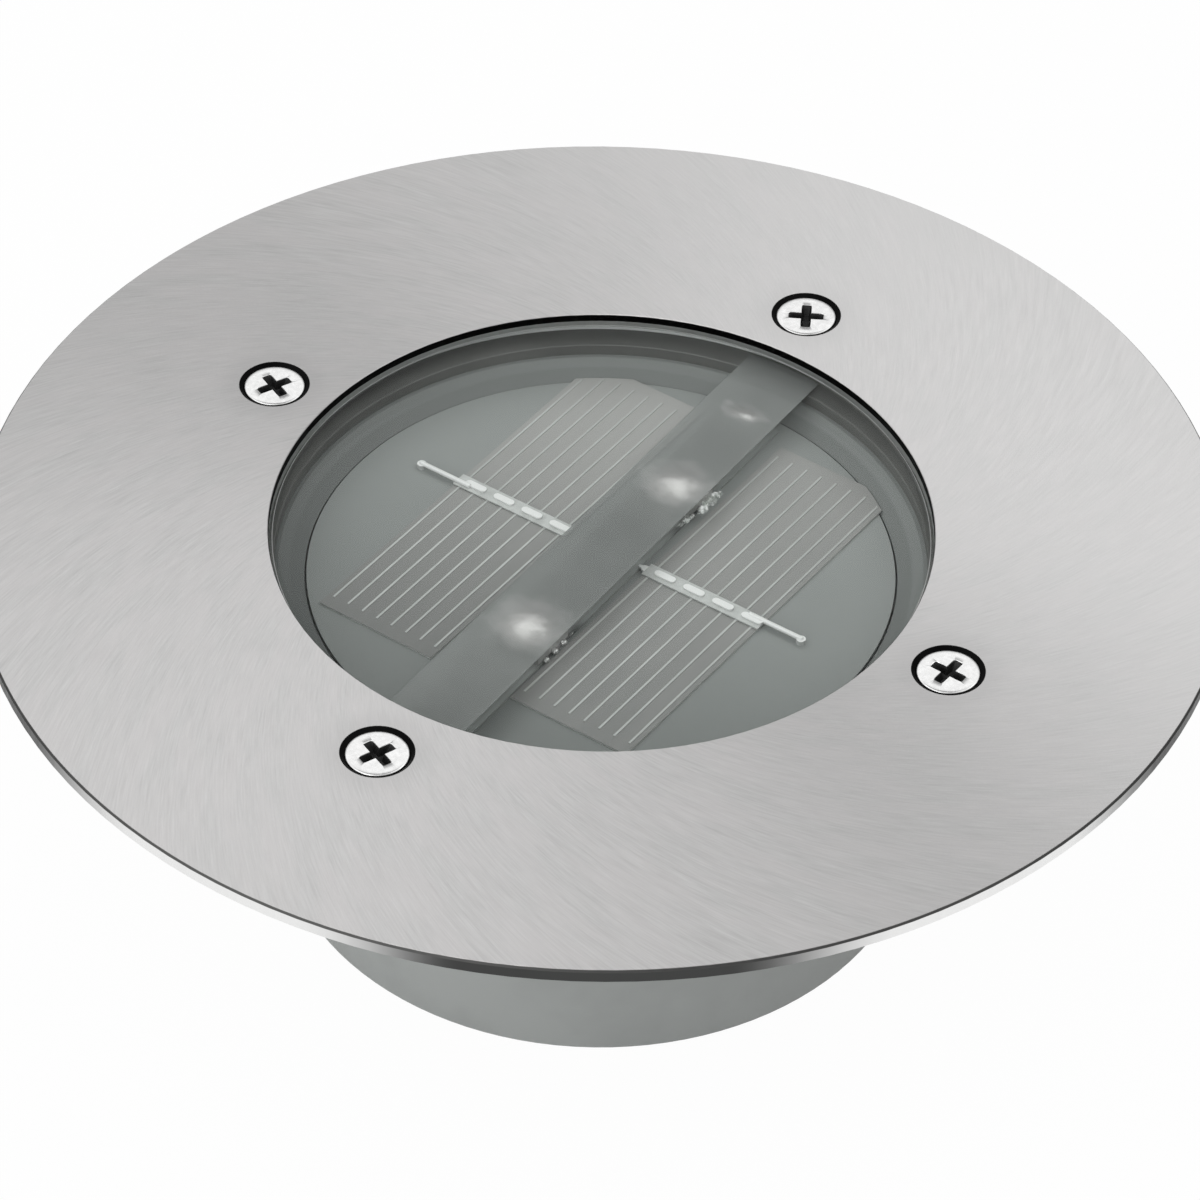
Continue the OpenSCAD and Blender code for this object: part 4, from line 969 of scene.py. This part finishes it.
white = net.add("ShaderNodeEmission", {"Color": WHITE, "Strength": 1.0}).outputs[0]
net.out(net.blend(net.times(seen, 0.97), matt, white))
floor_mat.cycles.emission_sampling = "NONE"
floor_mesh.materials.append(floor_mat)

# The world: white for the camera; for the object a soft studio, bright in a wide bow above the back
# and dimmer overhead and towards the camera
world = bpy.data.worlds.new("studio")
bpy.context.scene.world = world
world.use_nodes = True
net = Net(world.node_tree)
camera_sees = net.add("ShaderNodeLightPath").outputs["Is Camera Ray"]
way = net.add("ShaderNodeTexCoord").outputs["Generated"]
behind = net.vector("DOT_PRODUCT", way, tuple(AWAY))
to_right = net.vector("DOT_PRODUCT", way, tuple(RIGHT))
up = net.split(way)[2]
height = net.times(net.step(up, 0.40, 0.62), net.step(up, 0.76, 0.92, 1.0, 0.0))
bow = net.times(net.step(behind, -0.25, 0.25), height)
level = net.math("MULTIPLY_ADD", bow, 0.86, 0.36)
level = net.times(level, net.step(to_right, -1.0, 1.0, 1.0, 0.98))
strength = net.plus(net.times(level, net.minus(1.0, camera_sees)), camera_sees)
sky = net.add("ShaderNodeBackground", {"Color": WHITE, "Strength": strength}).outputs[0]
net.add("ShaderNodeOutputWorld", {0: sky})

# What the lamps aim at, in millimetres
AIM = (0, 0, 35)


def softbox(name, right, away, up_mm, size, power):
    """An area lamp placed by the photograph's directions, in millimetres."""
    light = bpy.data.lights.new(name, "AREA")
    light.shape = "RECTANGLE"
    light.size, light.size_y = size[0] * MM, size[1] * MM
    light.energy = power
    obj = bpy.data.objects.new(name, light)
    bpy.context.scene.collection.objects.link(obj)
    place = (RIGHT * right + AWAY * away) * MM + Vector((0, 0, up_mm * MM))
    obj.location = place
    obj.rotation_euler = (Vector(AIM) * MM - place).to_track_quat("-Z", "Y").to_euler()


softbox("key", -300, -260, 560, (760, 760), 1.7)
softbox("fill", 380, -60, 560, (600, 600), 0.7)
softbox("front", -340, -540, 220, (420, 260), 1.25)

# The camera, fitted to the photograph: eye and target in millimetres, roll in radians
EYE, TARGET, ROLL = mm(225.85, -323.09, 380.2), mm(6.33, -9.14, 40.0), 0.0156
cam = bpy.data.cameras.new("camera")
cam.lens = 163.36
cam.sensor_width = 36.0
cam.sensor_fit = "AUTO"
cam.clip_start = 0.01
cam_obj = bpy.data.objects.new("camera", cam)
bpy.context.scene.collection.objects.link(cam_obj)
ahead = (TARGET - EYE).normalized()
level_right = ahead.cross(Vector((0, 0, 1))).normalized()
level_up = level_right.cross(ahead)
cam_x = level_right * math.cos(ROLL) + level_up * math.sin(ROLL)
cam_y = level_up * math.cos(ROLL) - level_right * math.sin(ROLL)
cam_obj.matrix_world = Matrix.Translation(EYE) @ Matrix((cam_x, cam_y, -ahead)).transposed().to_4x4()
bpy.context.scene.camera = cam_obj
bpy.context.scene.view_settings.view_transform = "Standard"
# Light to the lamp row and back crosses more clear faces than the default's 8
bpy.context.scene.cycles.transparent_max_bounces = 24
